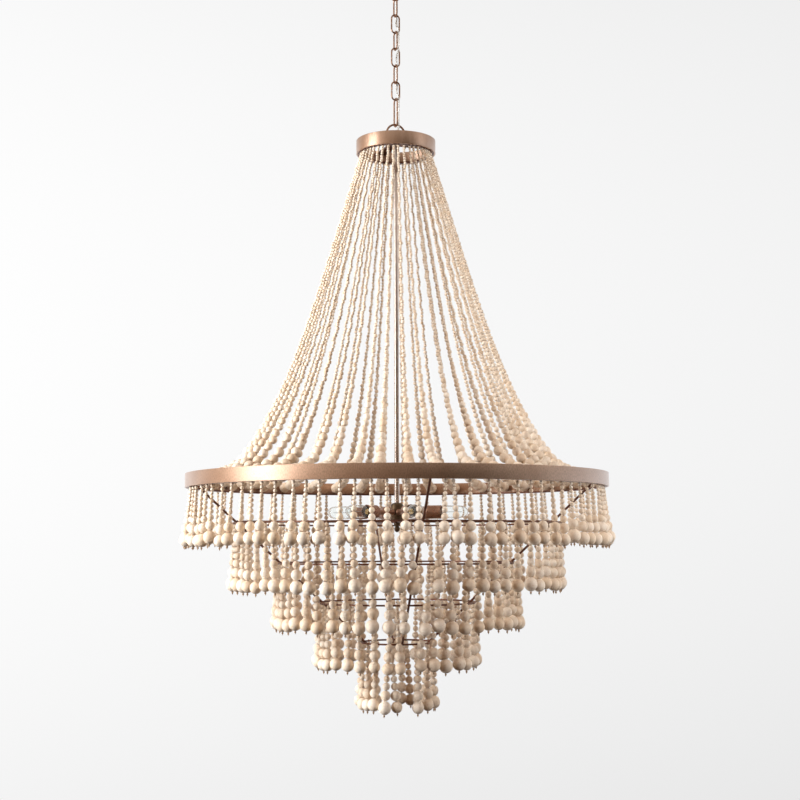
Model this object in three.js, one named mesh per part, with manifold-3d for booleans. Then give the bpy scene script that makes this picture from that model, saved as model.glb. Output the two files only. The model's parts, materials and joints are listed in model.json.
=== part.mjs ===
// Beaded chandelier: a round metal frame of five tiers that hangs on a chain, dressed with strings of
// round wooden beads, with a cluster of six small clear lamps in the middle.
// Millimetres, +Z up. The origin is on the ceiling, straight above the centre of the frame.
// A bearing is an angle round the vertical axis: zero faces the front (-Y), a quarter turn is +X.
import * as THREE from 'three';
import { mergeVertices } from 'three/addons/utils/BufferGeometryUtils.js';
import Module from 'manifold-3d';

const wasm = await Module();
wasm.setup();

// Fits
const seatGap = 0.3;
const threadGap = 0.3;
const turnGap = 0.5;
const nutSides = 6;

// Ceiling canopy and its fixings
const canopyRadius = 65;
const canopyDepth = 28;
const canopyWall = 1.5;
const canopySides = 20;
const canopyShoulderShares = [[1, 0.18], [0.86, 0.7], [0.37, 1]];
const strapInsideRim = 10;
const strapWidth = 18;
const strapThickness = 3;
const strapSlotFromEnd = 15.5;
const strapSlotLength = 11;
const strapSlotWidth = 4.5;
const strapHoleSides = 8;
const nippleRadius = 5;
const nippleBore = 3.75;
const nippleLength = 34;
const lockNutRadius = 9;
const lockNutThickness = 4;
const bossRadius = 9;
const bossLength = 18;
const bossFootRadius = 11.5;
const bossFootThickness = 4;
const bossBelowCanopy = 12;
const collarRadius = 14;
const collarSides = 12;
const collarThickness = 7;
const loopWire = 4;
const loopHalfWidth = 8.5;
const loopLegLength = 13.5;

// Chain
const linkWire = 3.1;
const linkWidth = 19.7;
const linkPitch = 34.5;
const linkCount = 6;
const longLinkPitch = 54;
const linkSlit = 1.2;
const wireSides = 6;
const linkSteps = 16;
const chainTwistDegrees = 22;

// Lead through the chain
const leadDiameter = 4.6;
const leadClearance = 0.5;
const leadCrossing = 2;
const leadInStem = 18;
const leadInNipple = 14;
const leadSides = 8;
const leadSteps = 38;

// Hanger and top ring
const hangerWire = 4;
const hangerHalfWidth = 19.3;
const hangerLegLength = 17.5;
const hangerNutRadius = 4.6;
const hangerNutThickness = 3.2;
const plateThickness = 4;
const plateArmWidth = 20;
const plateHoleSides = 12;
const topRingRadius = 78.5;
const bandHeight = 26;
const bandWall = 2.5;
const plateBelowRim = 2.5;
const topRingSides = 32;
const topStripWidth = 11;
const stripThickness = 3;

// Stem and lamp cluster
const stemRadius = 5;
const stemBore = 3.5;
const stemSides = 10;
const stemNutRadius = 9;
const stemNutThickness = 4;
const stemAbovePlate = 6;
const hubRadius = 12;
const hubHeight = 33;
const hubAboveMainRing = -61.5;
const hubSocketDepth = 8;
const hubChamfer = 3;
const hubSides = 12;
const lampCount = 6;
const lampBearingDegrees = 18;
const lampAboveHub = 15;
const lampSides = 8;
const lampArmRadius = 4.5;
const cupRadius = 12.8;
const cupStart = 58;
const cupLength = 29;
const cupWall = 1;
const cupTaper = 3;
const holderRadius = 8.5;
const holderLength = 22;
const capRadius = 5.9;
const capDepth = 17;
const bulbRadius = 12.4;
const bulbLength = 54;
const bulbOutlineShares = [[0.62, 0.04], [1, 0.22], [1, 0.78], [0.7, 0.95], [0, 1]];
const finialRadius = 6.5;
const finialHeight = 18;
const finialOutlineShares = [[1, 0], [1, 0.2], [0.55, 0.35], [0.85, 0.62], [0.6, 0.9], [0, 1]];
const studRadius = 3;
const studLength = 12;

// Frame tiers
const mainRingRadius = 406.4;
const ringDrop = 662;
const mainRingSides = 64;
const mainStripWidth = 12;
const strandInset = 10.4;
const lastTierRadius = 70;
const tierCount = 5;
const tierDrop = 75.5;
const firstTierAboveRim = 7.5;
const hoopBar = 3.2;
const hoopSides = [44, 35, 26, 24, 16];
const rodRadius = 2.25;
const rodSides = 8;
const rodCount = 4;
const rodBearingDegrees = 8.6;
const rodBelowLastHoop = 4;
const armRadius = 2.25;
const armSides = 8;
const armCollarRadius = 14;
const armCollarThickness = 5;

// Strings of beads
const lastTierStrands = 16;
const strandSpacing = 28.4;
const fringeLengths = [118, 132, 130, 129, 133];
const fringeFlare = 7;
const lowBead = 24;
const midBead = 20;
const topBead = 3.2;
const waist = 9;
const knotLength = 6;
const fewSidesShare = 1.25;
const beadSides = 3;
const drapeCount = 44;
const drapeGroups = ['front', 'right', 'back', 'left'];
const drapeTopBead = 5.5;
const drapeMidBead = 8;
const drapeLowBead = 20.5;
const drapeBeadPower = 6;
const drapeLeanShare = 0.62;
const drapeSweepPower = 12;
const drapeTopInset = 9.5;
const drapeStationShares = [0, 0.4, 0.7, 0.84, 0.92, 0.97, 1];

// Each tier is a step smaller than the one above, and has that many strings fewer
const tierStep = (mainRingRadius - strandInset - lastTierRadius) / (tierCount - 1);
const strandStep = Math.floor((2 * Math.PI * tierStep) / strandSpacing);

// Heights, worked out from the ceiling down
const bossFootTop = -canopyDepth - bossBelowCanopy;
const bossFootBottom = bossFootTop - bossFootThickness;
const loopCentre = bossFootBottom - loopLegLength;
const loopEye = loopCentre - loopHalfWidth + loopWire / 2;
const firstLinkEye = loopEye + seatGap;
const longLinkEye = firstLinkEye - linkCount * linkPitch;
const hangerEye = longLinkEye - longLinkPitch;
const hangerCentre = hangerEye + hangerWire / 2 - hangerHalfWidth;
const plateTop = hangerCentre - hangerLegLength;
const plateBottom = plateTop - plateThickness;
const topRingTop = plateTop + plateBelowRim;
const topRingBottom = topRingTop - bandHeight;
const mainRingBottom = topRingBottom - ringDrop;
const hubBottom = mainRingBottom + hubAboveMainRing;
const hubTop = hubBottom + hubHeight;
const lampHeight = hubBottom + lampAboveHub;
const stemTop = plateTop + stemAbovePlate;
const armCollarTop = hubBottom - seatGap;
const armHeight = armCollarTop - armCollarThickness / 2;
const finialTop = armCollarTop - armCollarThickness - seatGap;

// Finishes
const bronze = new THREE.MeshStandardMaterial({ color: 0x8a5a40, roughness: 0.38, metalness: 0.9 });
const darkBronze = new THREE.MeshStandardMaterial({ color: 0x5a3828, roughness: 0.45, metalness: 0.85 });
const chainBrass = new THREE.MeshStandardMaterial({ color: 0x86705a, roughness: 0.4, metalness: 0.9 });
const wood = new THREE.MeshStandardMaterial({ color: 0xe6cfae, roughness: 0.75, metalness: 0 });
const clearGlass = new THREE.MeshStandardMaterial({ color: 0xeef2f2, roughness: 0.05, metalness: 0 });
const phenolic = new THREE.MeshStandardMaterial({ color: 0x2a211c, roughness: 0.6, metalness: 0 });
const clearVinyl = new THREE.MeshStandardMaterial({ color: 0xe9e6dc, roughness: 0.3, metalness: 0 });
const zincSteel = new THREE.MeshStandardMaterial({ color: 0xb9bab8, roughness: 0.4, metalness: 0.9 });

// Degrees as an angle in radians
function turn(degrees) {
  return THREE.MathUtils.degToRad(degrees);
}

// Distance from the centre of a regular outline to the middle of its sides
function apothem(radius, sides) {
  return radius * Math.cos(Math.PI / sides);
}

// Distance from the centre of a regular outline, with a corner at bearing zero, to its edge
function outlineReach(radius, sides, bearing) {
  const side = (2 * Math.PI) / sides;
  return apothem(radius, sides) / Math.cos((bearing % side) - side / 2);
}

// Corner radius of a faceted hole that clears a round pin by a gap on every side
function holeRadius(pin, gap, sides) {
  return (pin + gap) / Math.cos(Math.PI / sides);
}

// A closed surface with merged corners, no empty triangles and its faces pointing out
function closed(geometry) {
  geometry.deleteAttribute('normal');
  geometry.deleteAttribute('uv');
  const merged = mergeVertices(geometry);
  const corners = merged.index.array;
  const points = merged.attributes.position;
  const [a, b, c] = [new THREE.Vector3(), new THREE.Vector3(), new THREE.Vector3()];
  const kept = [];
  let volume = 0;
  for (let i = 0; i < corners.length; i += 3) {
    const [p, q, r] = [corners[i], corners[i + 1], corners[i + 2]];
    if (p === q || q === r || r === p) {
      continue;
    }
    kept.push(p, q, r);
    a.fromBufferAttribute(points, p);
    b.fromBufferAttribute(points, q);
    c.fromBufferAttribute(points, r);
    volume += a.dot(b.cross(c));
  }
  merged.setIndex(volume < 0 ? kept.reverse() : kept);
  return merged;
}

function solidOf(geometry) {
  const vertProperties = new Float32Array(geometry.attributes.position.array);
  const triVerts = new Uint32Array(geometry.index.array);
  return new wasm.Manifold(new wasm.Mesh({ numProp: 3, vertProperties, triVerts }));
}

function geometryOf(solid) {
  const { vertProperties, triVerts } = solid.getMesh();
  const geometry = new THREE.BufferGeometry();
  geometry.setAttribute('position', new THREE.BufferAttribute(vertProperties, 3));
  geometry.setIndex(new THREE.BufferAttribute(triVerts, 1));
  return geometry;
}

function joined(...geometries) {
  return geometryOf(wasm.Manifold.union(geometries.map(solidOf)));
}

// A profile of [radius, height] pairs turned round the vertical axis
function turned(profile, sides, firstBearing = 0) {
  const points = profile.map(([radius, height]) => new THREE.Vector2(radius, height));
  return closed(new THREE.LatheGeometry(points, sides, firstBearing).rotateX(Math.PI / 2));
}

// A ring of rectangular section between two radii and two heights
function flatRing(inner, outer, bottom, top, sides, firstBearing = 0) {
  const profile = [[inner, bottom], [outer, bottom], [outer, top], [inner, top], [inner, bottom]];
  return turned(profile, sides, firstBearing);
}

// A plain round bar along the vertical axis
function bar(radius, bottom, top, sides, firstBearing = 0) {
  return turned([[0, bottom], [radius, bottom], [radius, top], [0, top]], sides, firstBearing);
}

// A round wire swept along a curve
function wire(path, radius, sides, steps) {
  const section = new THREE.Shape();
  for (let i = 0; i < sides; i += 1) {
    const angle = (i / sides) * 2 * Math.PI;
    const point = [radius * Math.cos(angle), radius * Math.sin(angle)];
    if (i === 0) {
      section.moveTo(...point);
    } else {
      section.lineTo(...point);
    }
  }
  const options = { steps, extrudePath: path, bevelEnabled: false, curveSegments: 1 };
  return closed(new THREE.ExtrudeGeometry(section, options));
}

// A six-sided nut on a threaded pin
function hexNut(radius, pin, bottom, top) {
  return flatRing(holeRadius(pin, threadGap, nutSides), radius, bottom, top, nutSides);
}

function piece(name, geometry, material) {
  const mesh = new THREE.Mesh(geometry, material);
  mesh.name = name;
  return mesh;
}

// Chain

// The middle line of an oval link in the XZ plane: it starts beside the slit and runs once round
class OvalPath extends THREE.Curve {
  constructor(halfWidth, halfHeight, slit) {
    super();
    this.radius = halfWidth;
    this.straight = halfHeight - halfWidth;
    this.slit = slit;
  }

  getPoint(t, target = new THREE.Vector3()) {
    const { radius, straight } = this;
    const arc = Math.PI * radius;
    const total = 4 * straight + 2 * arc;
    let along = this.slit / 2 + t * (total - this.slit);
    if (along < straight) {
      return target.set(-radius, 0, along);
    }
    along -= straight;
    if (along < arc) {
      const angle = along / radius;
      return target.set(-radius * Math.cos(angle), 0, straight + radius * Math.sin(angle));
    }
    along -= arc;
    if (along < 2 * straight) {
      return target.set(radius, 0, straight - along);
    }
    along -= 2 * straight;
    if (along < arc) {
      const angle = along / radius;
      return target.set(radius * Math.cos(angle), 0, -straight - radius * Math.sin(angle));
    }
    return target.set(-radius, 0, along - arc - straight);
  }
}

// A link hung from its upper eye at height zero, with room for the wire that hangs in its lower eye
function chainLink(name, pitch) {
  const halfHeight = (pitch + seatGap + linkWire) / 2;
  const path = new OvalPath((linkWidth - linkWire) / 2, halfHeight, linkSlit);
  const link = piece(name, wire(path, linkWire / 2, wireSides, linkSteps), chainBrass);
  link.geometry.translate(0, 0, linkWire / 2 - halfHeight);
  return link;
}

// The chain's links in turn, each a quarter turn from the one above
function chain() {
  const group = new THREE.Group();
  for (let i = 0; i < linkCount; i += 1) {
    const link = chainLink(`chain_link_${i + 1}`, linkPitch);
    link.position.z = firstLinkEye - i * linkPitch;
    link.rotation.z = i % 2 === 0 ? Math.PI / 2 : 0;
    group.add(link);
  }
  const last = chainLink('chain_long_link', longLinkPitch);
  last.position.z = longLinkEye;
  last.rotation.z = linkCount % 2 === 0 ? Math.PI / 2 : 0;
  group.add(last);
  return group;
}

// An upside-down U of round bar in the XZ plane, its legs down and its bend at the top
class BowPath extends THREE.Curve {
  constructor(halfWidth, leg) {
    super();
    this.halfWidth = halfWidth;
    this.leg = leg;
  }

  getPoint(t, target = new THREE.Vector3()) {
    const { halfWidth, leg } = this;
    const arc = Math.PI * halfWidth;
    const along = t * (2 * leg + arc);
    if (along < leg) {
      return target.set(-halfWidth, 0, along - leg);
    }
    if (along > leg + arc) {
      return target.set(halfWidth, 0, leg + arc - along);
    }
    const angle = (along - leg) / halfWidth;
    return target.set(-halfWidth * Math.cos(angle), 0, halfWidth * Math.sin(angle));
  }
}

// The lead runs beside the links that it sees edge on, and crosses through the middle of the others
function leadRoute() {
  const side = linkWire / 2 + leadDiameter / 2 + leadClearance;
  const points = [
    new THREE.Vector3(0, 0, -leadInNipple),
    new THREE.Vector3(0, 0, bossFootTop),
    new THREE.Vector3(0, 0, bossFootBottom),
  ];
  let face = 1;
  const hold = linkWire;
  for (let i = 0; i <= linkCount + 1; i += 1) {
    const eye = i <= linkCount ? firstLinkEye - i * linkPitch : hangerEye;
    points.push(new THREE.Vector3(side, face * side, eye + hold));
    points.push(new THREE.Vector3(side, face * side, eye - hold));
    if (i % 2 === 1 && i < linkCount) {
      points.push(new THREE.Vector3(leadCrossing, 0, eye - linkPitch / 2));
      face = -face;
    }
  }
  points.push(new THREE.Vector3(0, 0, stemTop + leadDiameter));
  points.push(new THREE.Vector3(0, 0, stemTop - leadInStem));
  return new THREE.CatmullRomCurve3(points, false, 'centripetal');
}

function lead() {
  return piece('power_lead', wire(leadRoute(), leadDiameter / 2, leadSides, leadSteps), clearVinyl);
}

// Canopy and its fixings

function canopy() {
  const hole = holeRadius(bossRadius, turnGap, canopySides);
  const outside = canopyShoulderShares.map(([r, z]) => [canopyRadius * r, -canopyDepth * z]);
  const inside = canopyShoulderShares.map(([r, z]) => [
    (canopyRadius - canopyWall) * r,
    -(canopyDepth - canopyWall) * z,
  ]);
  const profile = [
    [canopyRadius, 0],
    ...outside,
    [hole, -canopyDepth],
    [hole, canopyWall - canopyDepth],
    ...inside.reverse(),
    [canopyRadius - canopyWall, 0],
    [canopyRadius, 0],
  ];
  return piece('ceiling_canopy', turned(profile, canopySides), bronze);
}

// The bar that is screwed to the ceiling box, with a hole for the nipple and two slots for screws
function canopyStrap() {
  const half = canopyRadius - strapInsideRim;
  const end = strapWidth / 2;
  const middle = half - end;
  const outline = new THREE.Shape();
  outline.absarc(middle, 0, end, -Math.PI / 2, Math.PI / 2);
  outline.absarc(-middle, 0, end, Math.PI / 2, (3 * Math.PI) / 2);
  const hole = new THREE.Path();
  hole.absarc(0, 0, holeRadius(nippleRadius, threadGap, strapHoleSides), 0, 2 * Math.PI, true);
  outline.holes.push(hole);
  for (const side of [-1, 1]) {
    const slot = new THREE.Path();
    const centre = side * (half - strapSlotFromEnd);
    slot.absarc(centre + strapSlotLength / 2, 0, strapSlotWidth / 2, Math.PI / 2, -Math.PI / 2, true);
    slot.absarc(centre - strapSlotLength / 2, 0, strapSlotWidth / 2, -Math.PI / 2, Math.PI / 2, true);
    outline.holes.push(slot);
  }
  const options = { depth: strapThickness, bevelEnabled: false, curveSegments: strapHoleSides / 2 };
  const plate = piece('canopy_strap', closed(new THREE.ExtrudeGeometry(outline, options)), zincSteel);
  plate.position.z = -strapThickness;
  return plate;
}

function canopyFixings() {
  const group = new THREE.Group();
  const nippleTop = -strapThickness / 2;
  const nippleBottom = nippleTop - nippleLength;
  const nipple = flatRing(nippleBore, nippleRadius, nippleBottom, nippleTop, stemSides);
  const nutTop = -strapThickness - seatGap;
  const nut = hexNut(lockNutRadius, nippleRadius, nutTop - lockNutThickness, nutTop);
  const bossTop = bossFootTop + bossLength;
  const bossBore = holeRadius(nippleRadius, threadGap, stemSides);
  const leadBore = holeRadius(leadDiameter / 2, turnGap, stemSides);
  const boss = turned([
    [bossBore, bossTop],
    [bossRadius, bossTop],
    [bossRadius, bossFootTop],
    [bossFootRadius, bossFootTop],
    [bossFootRadius, bossFootBottom],
    [leadBore, bossFootBottom],
    [leadBore, nippleBottom - seatGap],
    [bossBore, nippleBottom - seatGap],
    [bossBore, bossTop],
  ], stemSides);
  const bowLeg = loopLegLength + bossFootThickness / 2;
  const bow = wire(new BowPath(loopHalfWidth, bowLeg), loopWire / 2, wireSides, linkSteps);
  bow.rotateX(Math.PI).translate(0, 0, loopCentre);
  const collarTop = -canopyDepth - seatGap;
  const collarBore = holeRadius(bossRadius, threadGap, collarSides);
  const collarLow = collarTop - collarThickness;
  const collar = flatRing(collarBore, collarRadius, collarLow, collarTop, collarSides);
  group.add(piece('canopy_nipple', nipple, zincSteel));
  group.add(piece('nipple_nut', nut, zincSteel));
  group.add(piece('canopy_loop', joined(boss, bow), bronze));
  group.add(piece('loop_collar', collar, bronze));
  return group;
}

// Hanger, top ring and stem

function hanger() {
  const group = new THREE.Group();
  const leg = hangerLegLength + plateThickness + 2 * hangerNutThickness;
  const bow = wire(new BowPath(hangerHalfWidth, leg), hangerWire / 2, wireSides, linkSteps);
  const bowPiece = piece('hanger_bow', bow, chainBrass);
  bowPiece.position.z = hangerCentre;
  group.add(bowPiece);
  const nutTop = -seatGap;
  for (const [side, name] of [[-1, 'left'], [1, 'right']]) {
    const nut = hexNut(hangerNutRadius, hangerWire / 2, nutTop - hangerNutThickness, nutTop);
    const nutPiece = piece(`hanger_nut_${name}`, nut, zincSteel);
    nutPiece.position.set(side * hangerHalfWidth, 0, plateBottom);
    group.add(nutPiece);
  }
  return group;
}

// The cross inside the top ring that takes the hanger's legs and the stem
function topPlate() {
  const inside = apothem(topRingRadius - bandWall, topRingSides) - seatGap;
  const half = plateArmWidth / 2;
  const reach = Math.sqrt(inside ** 2 - half ** 2);
  const outline = new THREE.Shape();
  const corners = [];
  for (let i = 0; i < rodCount; i += 1) {
    for (const [x, y] of [[reach, -half], [reach, half], [half, half]]) {
      const corner = new THREE.Vector2(x, y);
      corners.push(corner.rotateAround(new THREE.Vector2(), (i * Math.PI) / 2));
    }
  }
  outline.setFromPoints(corners);
  const bores = [
    [0, stemRadius],
    [-hangerHalfWidth, hangerWire / 2],
    [hangerHalfWidth, hangerWire / 2],
  ];
  for (const [x, radius] of bores) {
    const hole = new THREE.Path();
    hole.absarc(x, 0, holeRadius(radius, threadGap, plateHoleSides), 0, 2 * Math.PI, true);
    outline.holes.push(hole);
  }
  const options = { depth: plateThickness, bevelEnabled: false, curveSegments: plateHoleSides / 2 };
  const plate = piece('top_plate', closed(new THREE.ExtrudeGeometry(outline, options)), darkBronze);
  plate.position.z = plateBottom;
  return plate;
}

// The chain and what follows its turn hang a little twisted under the canopy
function twistedPieces() {
  const group = new THREE.Group();
  group.add(chain(), lead(), hanger(), topPlate());
  group.rotation.z = turn(chainTwistDegrees);
  return group;
}

function stem() {
  const group = new THREE.Group();
  const stemBottom = hubTop - hubSocketDepth + seatGap;
  const tube = flatRing(stemBore, stemRadius, stemBottom, stemTop, stemSides);
  const upper = plateTop + seatGap;
  const lower = plateBottom - seatGap;
  const upperNut = hexNut(stemNutRadius, stemRadius, upper, upper + stemNutThickness);
  const lowerNut = hexNut(stemNutRadius, stemRadius, lower - stemNutThickness, lower);
  group.add(piece('centre_stem', tube, bronze));
  group.add(piece('stem_nut_upper', upperNut, zincSteel));
  group.add(piece('stem_nut_lower', lowerNut, zincSteel));
  return group;
}

function bandRing(name, radius, bottom, sides) {
  const band = flatRing(radius - bandWall, radius, 0, bandHeight, sides);
  const ring = piece(name, band, bronze);
  ring.position.z = bottom;
  return ring;
}

// Strings of beads

// A string as one lofted solid in the plane that faces the front. Each station holds its distance
// from the axis, its height and its radius, and a last radius of zero closes the string to a point.
function beadString(stations) {
  const positions = [];
  const triangles = [];
  const sideways = new THREE.Vector3(1, 0, 0);
  const places = stations.map(([out, up]) => new THREE.Vector3(0, -out, up));
  stations.forEach(([, , radius], i) => {
    const before = places[Math.max(i - 1, 0)];
    const after = places[Math.min(i + 1, places.length - 1)];
    const along = after.clone().sub(before).normalize();
    const facing = new THREE.Vector3().crossVectors(sideways, along);
    for (let k = 0; k < beadSides; k += 1) {
      const angle = (k / beadSides) * 2 * Math.PI;
      const corner = places[i].clone();
      corner.addScaledVector(facing, -radius * fewSidesShare * Math.cos(angle));
      corner.addScaledVector(sideways, radius * fewSidesShare * Math.sin(angle));
      positions.push(...corner);
    }
  });
  for (let i = 0; i + 1 < stations.length; i += 1) {
    for (let k = 0; k < beadSides; k += 1) {
      const a = i * beadSides + k;
      const b = i * beadSides + ((k + 1) % beadSides);
      triangles.push(a, b, b + beadSides, a, b + beadSides, a + beadSides);
    }
  }
  const last = (stations.length - 1) * beadSides;
  for (let k = 1; k + 1 < beadSides; k += 1) {
    triangles.push(0, k + 1, k);
    triangles.push(last, last + k, last + k + 1);
  }
  const geometry = new THREE.BufferGeometry();
  geometry.setAttribute('position', new THREE.Float32BufferAttribute(positions, 3));
  geometry.setIndex(triangles);
  return closed(geometry);
}

// A few of the copies of one string that stand evenly round the axis, fused with what carries them
function fusedStrings(carrier, string, count, firstBearing, first = 0, last = count) {
  const copies = [];
  for (let i = first; i < last; i += 1) {
    copies.push(string.clone().rotateZ(firstBearing + (i / count) * 2 * Math.PI));
  }
  return joined(carrier, ...copies);
}

// A hanging string: small beads at the hoop that grow to a middle and a low bead, then a knot
function fringeStations(radius, length, flare) {
  const lowCentre = length - knotLength - lowBead / 2;
  const neck = length - knotLength - lowBead;
  const midCentre = neck - midBead / 2;
  const drops = [[0, topBead / 2], [midCentre, midBead / 2], [neck, waist / 2], [lowCentre, lowBead / 2]];
  drops.push([length, 0]);
  return drops.map(([drop, bead]) => [radius + (flare * drop) / length, -drop, bead]);
}

function strandRadius(tier) {
  return mainRingRadius - strandInset - tier * tierStep;
}

function strandCount(tier) {
  return lastTierStrands + (tierCount - 1 - tier) * strandStep;
}

function hoopHeight(tier) {
  return mainRingBottom + firstTierAboveRim - tier * tierDrop;
}

// The first tier hangs from the flat strip inside the main ring
function firstTier() {
  const outer = apothem(mainRingRadius - bandWall, mainRingSides) - seatGap;
  const strip = flatRing(outer - mainStripWidth, outer, 0, stripThickness, hoopSides[0]);
  const string = beadString(fringeStations(strandRadius(0), fringeLengths[0], fringeFlare));
  string.translate(0, 0, stripThickness / 2);
  const count = strandCount(0);
  const fringe = fusedStrings(strip, string, count, Math.PI / count);
  const tier = piece('tier_1_fringe', fringe, wood);
  tier.position.z = mainRingBottom;
  return tier;
}

function lowerTier(tier) {
  const radius = strandRadius(tier);
  const half = hoopBar / 2;
  const hoop = flatRing(radius - half, radius + half, -half, half, hoopSides[tier]);
  const count = strandCount(tier);
  const reach = outlineReach(radius, hoopSides[tier], Math.PI / count);
  const string = beadString(fringeStations(reach, fringeLengths[tier], 0));
  const fringe = fusedStrings(hoop, string, count, Math.PI / count);
  const fringePiece = piece(`tier_${tier + 1}_fringe`, fringe, wood);
  fringePiece.position.z = hoopHeight(tier);
  return fringePiece;
}

// A flat strip along an arc between two radii, from one bearing to another
function stripArc(inner, outer, from, to) {
  const outline = new THREE.Shape();
  outline.absarc(0, 0, outer, from - Math.PI / 2, to - Math.PI / 2, false);
  outline.absarc(0, 0, inner, to - Math.PI / 2, from - Math.PI / 2, true);
  const curveSegments = topRingSides / drapeGroups.length;
  const options = { depth: stripThickness, bevelEnabled: false, curveSegments };
  return closed(new THREE.ExtrudeGeometry(outline, options));
}

// One long string sags inwards from the top ring and sweeps out to the main ring
function drapedString() {
  const start = topRingRadius - drapeTopInset;
  const end = strandRadius(0);
  const lowest = mainRingBottom + stripThickness + seatGap + drapeLowBead / 2;
  const drop = topRingBottom - lowest;
  return beadString(drapeStationShares.map((share) => {
    const swept = drapeLeanShare * share + (1 - drapeLeanShare) * share ** drapeSweepPower;
    const slowly = THREE.MathUtils.lerp(drapeTopBead, drapeMidBead, share);
    const bead = slowly + (drapeLowBead - drapeMidBead) * share ** drapeBeadPower;
    return [start + (end - start) * swept, stripThickness / 2 - drop * share, bead / 2];
  }));
}

// The long strings hang in four groups, each from its own length of strip inside the top ring
function drapedStrings() {
  const group = new THREE.Group();
  const outer = apothem(topRingRadius - bandWall, topRingSides) - seatGap;
  const spacing = (2 * Math.PI) / drapeCount;
  const share = drapeCount / drapeGroups.length;
  const firstBearing = turn(rodBearingDegrees) + spacing / 2;
  const gap = seatGap / (outer - topStripWidth);
  drapeGroups.forEach((name, i) => {
    const first = Math.ceil((i - 0.5) * share);
    const last = Math.ceil((i + 0.5) * share);
    const from = firstBearing + (first - 0.5) * spacing;
    const to = firstBearing + (last - 0.5) * spacing - gap;
    const strip = stripArc(outer - topStripWidth, outer, from, to);
    const strings = fusedStrings(strip, drapedString(), drapeCount, firstBearing, first, last);
    const strungPiece = piece(`draped_strings_${name}`, strings, wood);
    strungPiece.position.z = topRingBottom;
    group.add(strungPiece);
  });
  return group;
}

// Frame rods and arms

// The rods pass just inside the hoops. The offset is square to a rod, from the middle of a hoop.
const rodLean = tierStep / tierDrop;
const rodStretch = Math.hypot(1, rodLean);
function rodOffset() {
  const sags = hoopSides.slice(1).map((sides, i) => {
    const inner = strandRadius(i + 1) - hoopBar / 2;
    return inner - apothem(inner, sides);
  });
  const corner = ((hoopBar / 2) * (1 + rodLean)) / rodStretch;
  return corner + Math.max(...sags) / rodStretch + seatGap + rodRadius;
}

// Distance of a rod's middle line from the axis at a height
function rodReach(height) {
  const line = strandRadius(0) + (height - hoopHeight(0)) * rodLean;
  return line - rodOffset() * rodStretch;
}

function frameRods() {
  const group = new THREE.Group();
  const bottom = hoopHeight(tierCount - 1) - rodBelowLastHoop;
  const wall = apothem(mainRingRadius - bandWall, mainRingSides) - seatGap;
  const endReach = wall - rodRadius / rodStretch;
  const top = bottom + (endReach - rodReach(bottom)) / rodLean;
  const length = (top - bottom) * rodStretch;
  const names = ['front', 'right', 'back', 'left'];
  names.forEach((name, i) => {
    const holder = new THREE.Group();
    holder.rotation.z = turn(rodBearingDegrees) + (i / rodCount) * 2 * Math.PI;
    const rod = piece(`frame_rod_${name}`, bar(rodRadius, 0, length, rodSides), darkBronze);
    rod.position.set(0, -rodReach(bottom), bottom);
    rod.rotation.x = Math.atan(rodLean);
    holder.add(rod);
    group.add(holder);
  });
  return group;
}

// A collar under the hub with an arm to each frame rod
function armSpider() {
  const hole = holeRadius(studRadius, threadGap, hubSides);
  const half = armCollarThickness / 2;
  const collar = flatRing(hole, armCollarRadius, -half, half, hubSides);
  const end = rodReach(armHeight - armRadius) - rodRadius * rodStretch - seatGap;
  const arms = [];
  for (let i = 0; i < rodCount; i += 1) {
    const arm = bar(armRadius, apothem(armCollarRadius, hubSides) - half, end, armSides);
    arm.rotateX(Math.PI / 2).rotateZ(turn(rodBearingDegrees) + (i / rodCount) * 2 * Math.PI);
    arms.push(arm);
  }
  const spider = piece('arm_spider', joined(collar, ...arms), darkBronze);
  spider.position.z = armHeight;
  return spider;
}

// Lamp cluster

function hub() {
  const group = new THREE.Group();
  const stemHole = holeRadius(stemRadius, threadGap, hubSides);
  const studHole = holeRadius(studRadius, threadGap, hubSides);
  const firstBearing = turn(lampBearingDegrees) + Math.PI / hubSides;
  const body = turned([
    [studHole, hubBottom],
    [hubRadius, hubBottom],
    [hubRadius, hubTop - hubChamfer],
    [hubRadius - hubChamfer, hubTop],
    [stemHole, hubTop],
    [stemHole, hubTop - hubSocketDepth],
    [studHole, hubTop - hubSocketDepth],
    [studHole, hubBottom],
  ], hubSides, firstBearing);
  group.add(piece('lamp_hub', body, darkBronze));
  const studTop = finialTop + armCollarThickness + studLength;
  const knob = turned([
    [0, studTop],
    [studRadius, studTop],
    [studRadius, finialTop],
    ...finialOutlineShares.map(([r, z]) => [finialRadius * r, finialTop - finialHeight * z]),
  ], stemSides);
  group.add(piece('hub_finial', knob, darkBronze));
  return group;
}

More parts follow.
